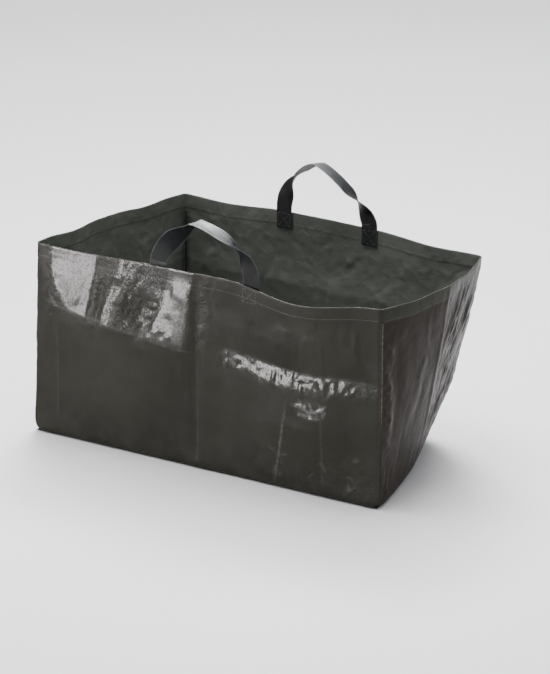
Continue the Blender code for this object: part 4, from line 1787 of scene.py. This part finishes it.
@dataclass
class StrapLoop:
    """One strap handle with its two sewn feet.

    The loop's own frame has X along the hinge line, Y into the bag and Z up. The two
    values of legs, rises and twists are for the first half of the loop and the second.
    """

    surface: Surface
    finishes: Finishes
    side: Side
    centre: float
    height: float
    lean: float
    skew: float
    legs: Place
    rises: Place
    twists: Place
    width: float = STRAP_WIDTH
    thickness: float = 0.0013
    spread: float = STRAP_SPREAD
    pivot_rise: float = 0.0085
    pivot_inset: float = 0.0037
    foot_drop: float = 0.034
    foot_gap: float = 0.0012
    foot_rows: int = 22
    loop_rows: int = 181
    columns: int = 10
    flat_foot: float = 0.08
    level_foot: float = 0.16
    crown_tilt: float = radians(8)
    blur_rows: int = 14
    blur_reach: float = 6.0
    loose: Place = (0.050, 0.085)
    dish: float = 0.0011
    sink: float = 0.0007
    ripple: float = 0.0010
    edge_round: float = 0.00035
    bend_reach: float = 0.007
    box_margin: float = 0.0045
    box_drop: float = 0.0035
    stitch_lift: float = 0.0012
    pivots: dict[int, Vector] = field(init=False)
    hinge: Matrix = field(init=False)

    def __post_init__(self) -> None:
        """Find the hinge line."""
        self.pivots = {end: self.find_pivot(end) for end in (-1, 1)}
        along = (self.pivots[1] - self.pivots[-1]).normalized()
        inward = UP.cross(along).normalized()
        turn = Matrix((along, inward, along.cross(inward))).transposed().to_4x4()
        self.hinge = Matrix.Translation((self.pivots[-1] + self.pivots[1]) / 2) @ turn

    def foot_share(self, end: int) -> float:
        """Share along the wall at one foot."""
        return self.centre + end * self.spread / 2 / self.surface.form.span(self.side)[1]

    def find_pivot(self, end: int) -> Vector:
        """Point of the hinge line over one foot.

        Args:
            end: -1 for the first foot, 1 for the second.

        Returns:
            The point.
        """
        share = self.foot_share(end)
        rim, outward = self.surface.at(self.side, share, 1.0)
        lower, _ = self.surface.at(self.side, share, 0.994)
        forward = UP.cross(outward).normalized()
        upward = outward.cross(forward).normalized()
        if upward.dot(rim - lower) < 0.0:
            upward = -upward
        return rim + upward * self.pivot_rise - outward * self.pivot_inset

    def middle(self, share: float) -> Vector:
        """Point of the loop's middle line.

        Args:
            share: 0 at the first foot, 1 at the second.

        Returns:
            The point, in the loop's own frame.
        """
        leg = 0 if share < 0.5 else 1
        half = (self.pivots[1] - self.pivots[-1]).length / 2
        angle = pi * min(max(share, 0.0), 1.0)
        rise = max(sin(angle), 0.0)
        slack = rise ** 2
        across = -cos(angle) * abs(cos(angle)) ** self.legs[leg] * half + self.skew * slack
        return Vector((across, self.lean * slack, self.height * rise ** self.rises[leg]))

    def turn(self, share: float) -> float:
        """Twist of the strap about its middle line.

        Args:
            share: 0 at the first foot, 1 at the second.

        Returns:
            Angle in radians.
        """
        reach = self.twists[0] if share < 0.5 else self.twists[1]
        level = min(max((min(share, 1.0 - share) - self.flat_foot) / reach, 0.0), 1.0)
        eased = level * level * (3.0 - 2.0 * level)
        quarter = pi / 2
        if self.side is Side.FRONT:
            return quarter * eased
        if share < 0.5:
            return (self.crown_tilt - quarter) * eased
        return (self.crown_tilt + quarter) * eased - 2 * quarter

    def across(self, share: float) -> Vector:
        """Vector over the strap's width.

        Args:
            share: 0 at the first foot, 1 at the second.

        Returns:
            The vector, in the loop's own frame.
        """
        tangent = (self.middle(share + 0.002) - self.middle(share - 0.002)).normalized()
        flat = Vector((0, 1, 0)).cross(tangent).normalized()
        straight = Vector((1.0 if flat.x > 0.0 else -1.0, 0, 0))
        leaning = (min(share, 1.0 - share) - self.flat_foot) / (self.level_foot - self.flat_foot)
        flat = straight.lerp(flat, min(max(leaning, 0.0), 1.0))
        angle = self.turn(share)
        width = flat * cos(angle) + tangent.cross(flat) * sin(angle)
        return width * self.width / width.cross(tangent).length

    def feet_normal(self, end: int) -> tuple[Vector, Vector]:
        """Directions of a sewn foot.

        Args:
            end: -1 for the first foot, 1 for the second.

        Returns:
            Unit vectors up the foot and out of the bag.
        """
        share = self.foot_share(end)
        low, outward = self.surface.at(self.side, share, 0.93)
        high, _ = self.surface.at(self.side, share, 0.985)
        along = self.hinge.to_3x3().col[0]
        upward = (high - low).normalized()
        upward = (upward - along * upward.dot(along)).normalized()
        return upward, outward

    def rows(self) -> list[tuple[Vector, Vector]]:
        """Every row of the strap, from one sewn end to the other.

        Returns:
            Middle point and width vector of each.
        """
        turn = self.hinge.to_3x3()
        along = turn.col[0].copy()
        depths = np.linspace(self.pivot_rise + self.foot_drop, self.foot_gap, self.foot_rows)
        first_up, _ = self.feet_normal(-1)
        last_up, _ = self.feet_normal(1)
        sign = -1.0 if self.side is Side.FRONT else 1.0
        rows = [(self.pivots[-1] - first_up * depth, along * self.width) for depth in depths]
        for share in np.linspace(0.0, 1.0, self.loop_rows):
            rows.append((self.hinge @ self.middle(share), turn @ self.across(share)))
        rows += [(self.pivots[1] - last_up * depth, along * (self.width * sign)) for depth in depths[::-1]]
        return rows

    def even_out(self, widths: np.ndarray, tangents: np.ndarray) -> np.ndarray:
        """Smooth the strap's twist, so that it passes softly from its feet to its loop.

        Args:
            widths: width vector of every row.
            tangents: unit vector along the strap at every row.

        Returns:
            Width vectors at right angles to the tangents.
        """
        count = self.blur_rows
        blur = ridge(np.arange(-count, count + 1), self.blur_reach)
        blur /= blur.sum()
        padded = np.pad(widths, ((count, count), (0, 0)), mode="edge")
        widths = np.column_stack([np.convolve(padded[:, axis], blur, mode="valid") for axis in range(3)])
        widths -= tangents * (widths * tangents).sum(axis=1)[:, None]
        return widths * (self.width / np.linalg.norm(widths, axis=1)[:, None])

    def build(self) -> bpy.types.Object:
        """Make the strap in one piece, which bends between its feet and its loop.

        Returns:
            The piece.
        """
        name = self.side.name.lower()
        rows = self.rows()
        piece, column, row = unit_grid(name + "_strap", self.columns, len(rows) - 1)
        index, share = np.rint(row).astype(int), column / self.columns - 0.5
        middles, widths = (np.array([tuple(pair[part]) for pair in rows]) for part in (0, 1))
        tangents = unit_rows(np.gradient(middles, axis=0))
        widths = self.even_out(widths, tangents)
        faces = unit_rows(np.cross(widths, tangents))
        marks = running_sum(step_lengths(middles))
        loose = smooth(np.minimum(marks, marks[-1] - marks), *self.loose)
        dish = (self.dish * (1.0 - 4.0 * share ** 2) - self.sink) * loose[index]
        ripple = np.array([noise.noise(Vector((mark * 38.0, 2.0, 5.0))) for mark in marks])
        dish += self.ripple * ripple[index] * loose[index] * share * 2.0
        points = middles[index] + widths[index] * share[:, None] + faces[index] * dish[:, None]
        lay_points(piece, points, np.column_stack(((share + 0.5) * self.width, marks[index])))
        dress(piece, Slot.WEBBING, self.finishes.webbing)
        thicken(piece, self.thickness)
        soften_edges(piece, self.edge_round)
        smooth_piece(piece, 50.0)
        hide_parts("handle_" + name, "strap_tab_" + name + "_a", "strap_tab_" + name + "_b")
        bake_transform(piece)
        return piece

    def sew(self, thread: Stitching) -> None:
        """Sew both feet down with a crossed box, seen on both faces of the hem.

        Args:
            thread: the stitching to add to.
        """
        along = self.hinge.to_3x3().col[0].copy()
        half = self.width / 2 - self.box_margin
        top, bottom = self.pivot_rise + self.box_drop, self.pivot_rise + self.foot_drop - self.box_margin
        corners = ((-half, top), (half, top), (half, bottom), (-half, bottom))
        steps = np.linspace(0.0, 1.0, 12)[:, None]
        for end in (-1, 1):
            upward, outward = self.feet_normal(end)
            inward = -outward
            faces = (self.thickness / 2, inward), (-2 * self.pivot_inset + self.stitch_lift, outward)
            for offset, normal in faces:
                for chain in ((0, 1, 2, 3, 0, 2), (1, 3)):
                    for pair in zip(chain, chain[1:]):
                        first, last = (
                            self.pivots[end] + along * corners[key][0] - upward * corners[key][1] + inward * offset
                            for key in pair
                        )
                        path = np.array(first) * (1.0 - steps) + np.array(last) * steps
                        thread.run(path, np.tile(np.array(normal), (len(steps), 1)))


@dataclass(frozen=True)
class Panel:
    """One soft box that faces the bag. Some only show in what mirrors them."""

    name: str
    place: tuple[float, float, float]
    size: Place
    power: float
    tint: tuple[float, float, float] = (1.0, 1.0, 1.0)
    only_mirrored: bool = False
    aim_height: float = 0.20

    def build(self) -> None:
        """Hang the light and turn it to the bag."""
        start_piece()
        bpy.ops.object.light_add(type="AREA", location=self.place)
        lamp = bpy.context.active_object
        lamp.name = lamp.data.name = self.name
        lamp.data.shape = "RECTANGLE"
        lamp.data.size, lamp.data.size_y = self.size
        lamp.data.energy = self.power
        lamp.data.color = self.tint
        lamp.visible_diffuse = not self.only_mirrored
        aim = Vector((0.0, 0.0, self.aim_height)) - lamp.location
        lamp.rotation_euler = aim.to_track_quat("-Z", "Y").to_euler()


@dataclass
class Studio:
    """Pale floor and backdrop, soft light and the camera."""

    azimuth: float = 36.5
    elevation: float = 16.2
    distance: float = 7.0
    frame_width: float = 1.05
    sensor: float = 36.0
    target: tuple[float, float, float] = (0.0, 0.0, 0.205)
    floor_size: Place = (26.0, 24.0)
    floor_faces: tuple[int, int] = (4, 60)
    floor_front: float = 9.0
    floor_back: float = 7.0
    floor_bend: float = 2.5
    floor_drop: float = 0.0004
    surround: Colour = (0.90, 0.91, 0.94, 1.0)
    surround_strength: float = 0.46
    panels: tuple[Panel, ...] = (
        Panel("front_left_card", (-1.5, -2.0, 0.52), (1.45, 1.0), 335.0, (1.0, 0.93, 0.955), only_mirrored=True),
        Panel("crown_card", (-1.5, 2.0, 2.6), (1.2, 0.8), 900.0, (0.97, 0.98, 1.0), only_mirrored=True),
        Panel("overhead_box", (-0.4, 0.05, 3.4), (3.2, 2.6), 215.0),
        Panel("backdrop_wash", (-2.2, 3.4, 4.6), (4.0, 1.6), 330.0),
        Panel("right_box", (3.0, 1.2, 2.2), (1.8, 1.8), 14.0, (1.0, 0.95, 0.95)),
    )

    def add_floor(self) -> None:
        """A floor that curves up into a backdrop, bent from one grid."""
        piece, column, row = unit_grid("studio_floor", *self.floor_faces)
        across = (column / self.floor_faces[0] - 0.5) * self.floor_size[0]
        run = row / self.floor_faces[1] * self.floor_size[1] - self.floor_front
        bend, wall = self.floor_bend, self.floor_back
        angle = np.clip((run - wall) / bend, 0.0, pi / 2)
        beyond = np.maximum(run - wall - bend * pi / 2, 0.0)
        depth = np.minimum(run, wall) + bend * np.sin(angle)
        height = bend * (1.0 - np.cos(angle)) + beyond - self.floor_drop
        turned = radians(self.azimuth)
        points = np.column_stack((
            across * cos(turned) - depth * sin(turned), across * sin(turned) + depth * cos(turned), height,
        ))
        lay_points(piece, points, points[:, :2])
        piece.data.materials.append(FloorFinish().make())
        smooth_piece(piece)

    def add_lights(self) -> None:
        """Soft boxes in front on the left, overhead and behind, and a pale surround."""
        for panel in self.panels:
            panel.build()
        world = bpy.data.worlds.new("pale_surround")
        world.use_nodes = True
        backdrop = world.node_tree.nodes["Background"]
        backdrop.inputs["Color"].default_value = self.surround
        backdrop.inputs["Strength"].default_value = self.surround_strength
        bpy.context.scene.world = world

    def add_camera(self) -> None:
        """A long lens from the picture's side."""
        turn, rise = radians(self.azimuth), radians(self.elevation)
        toward = Vector((sin(turn) * cos(rise), -cos(turn) * cos(rise), sin(rise)))
        start_piece()
        bpy.ops.object.camera_add(location=Vector(self.target) + toward * self.distance)
        camera = bpy.context.active_object
        camera.name = camera.data.name = "picture_camera"
        camera.rotation_euler = (-toward).to_track_quat("-Z", "Y").to_euler()
        camera.data.sensor_fit = "HORIZONTAL"
        camera.data.sensor_width = self.sensor
        camera.data.lens = self.sensor * self.distance / self.frame_width
        camera.data.clip_end = 60.0
        bpy.context.scene.camera = camera

    def build(self) -> None:
        """Set the whole studio up."""
        self.add_camera()
        self.add_floor()
        self.add_lights()


def main() -> None:
    """Build the bag and its studio, and report each piece."""
    noise.seed_set(NOISE_SEED)
    Studio().build()
    surface, finishes = Surface(), Finishes()
    pieces = WallPanels(surface, finishes).build()
    pieces.append(BaseSheet(surface, finishes).build())
    pieces += RimHem(surface, finishes).build()
    pieces.append(HemStitches(surface, finishes).build())
    pieces += SeamBindings(surface, finishes).build()
    straps = (
        StrapLoop(surface, finishes, Side.FRONT, FRONT_STRAP, height=0.092, lean=-0.008, skew=-0.020,
                  legs=(1.10, 0.15), rises=(1.30, 1.00), twists=(0.36, 0.22)),
        StrapLoop(surface, finishes, Side.BACK, BACK_STRAP, height=0.104, lean=0.006, skew=0.016,
                  legs=(0.45, 0.55), rises=(1.50, 1.15), twists=(0.17, 0.24)),
    )
    thread = Stitching("strap_stitches", finishes, Slot.WEBBING, Body.RIM, pitch=0.0046, length=0.0032)
    for strap in straps:
        pieces.append(strap.build())
        strap.sew(thread)
    pieces.append(thread.build())
    for piece in pieces:
        LOG.info("%s: %d faces", piece.name, len(piece.data.polygons))


if __name__ == "__main__":
    main()
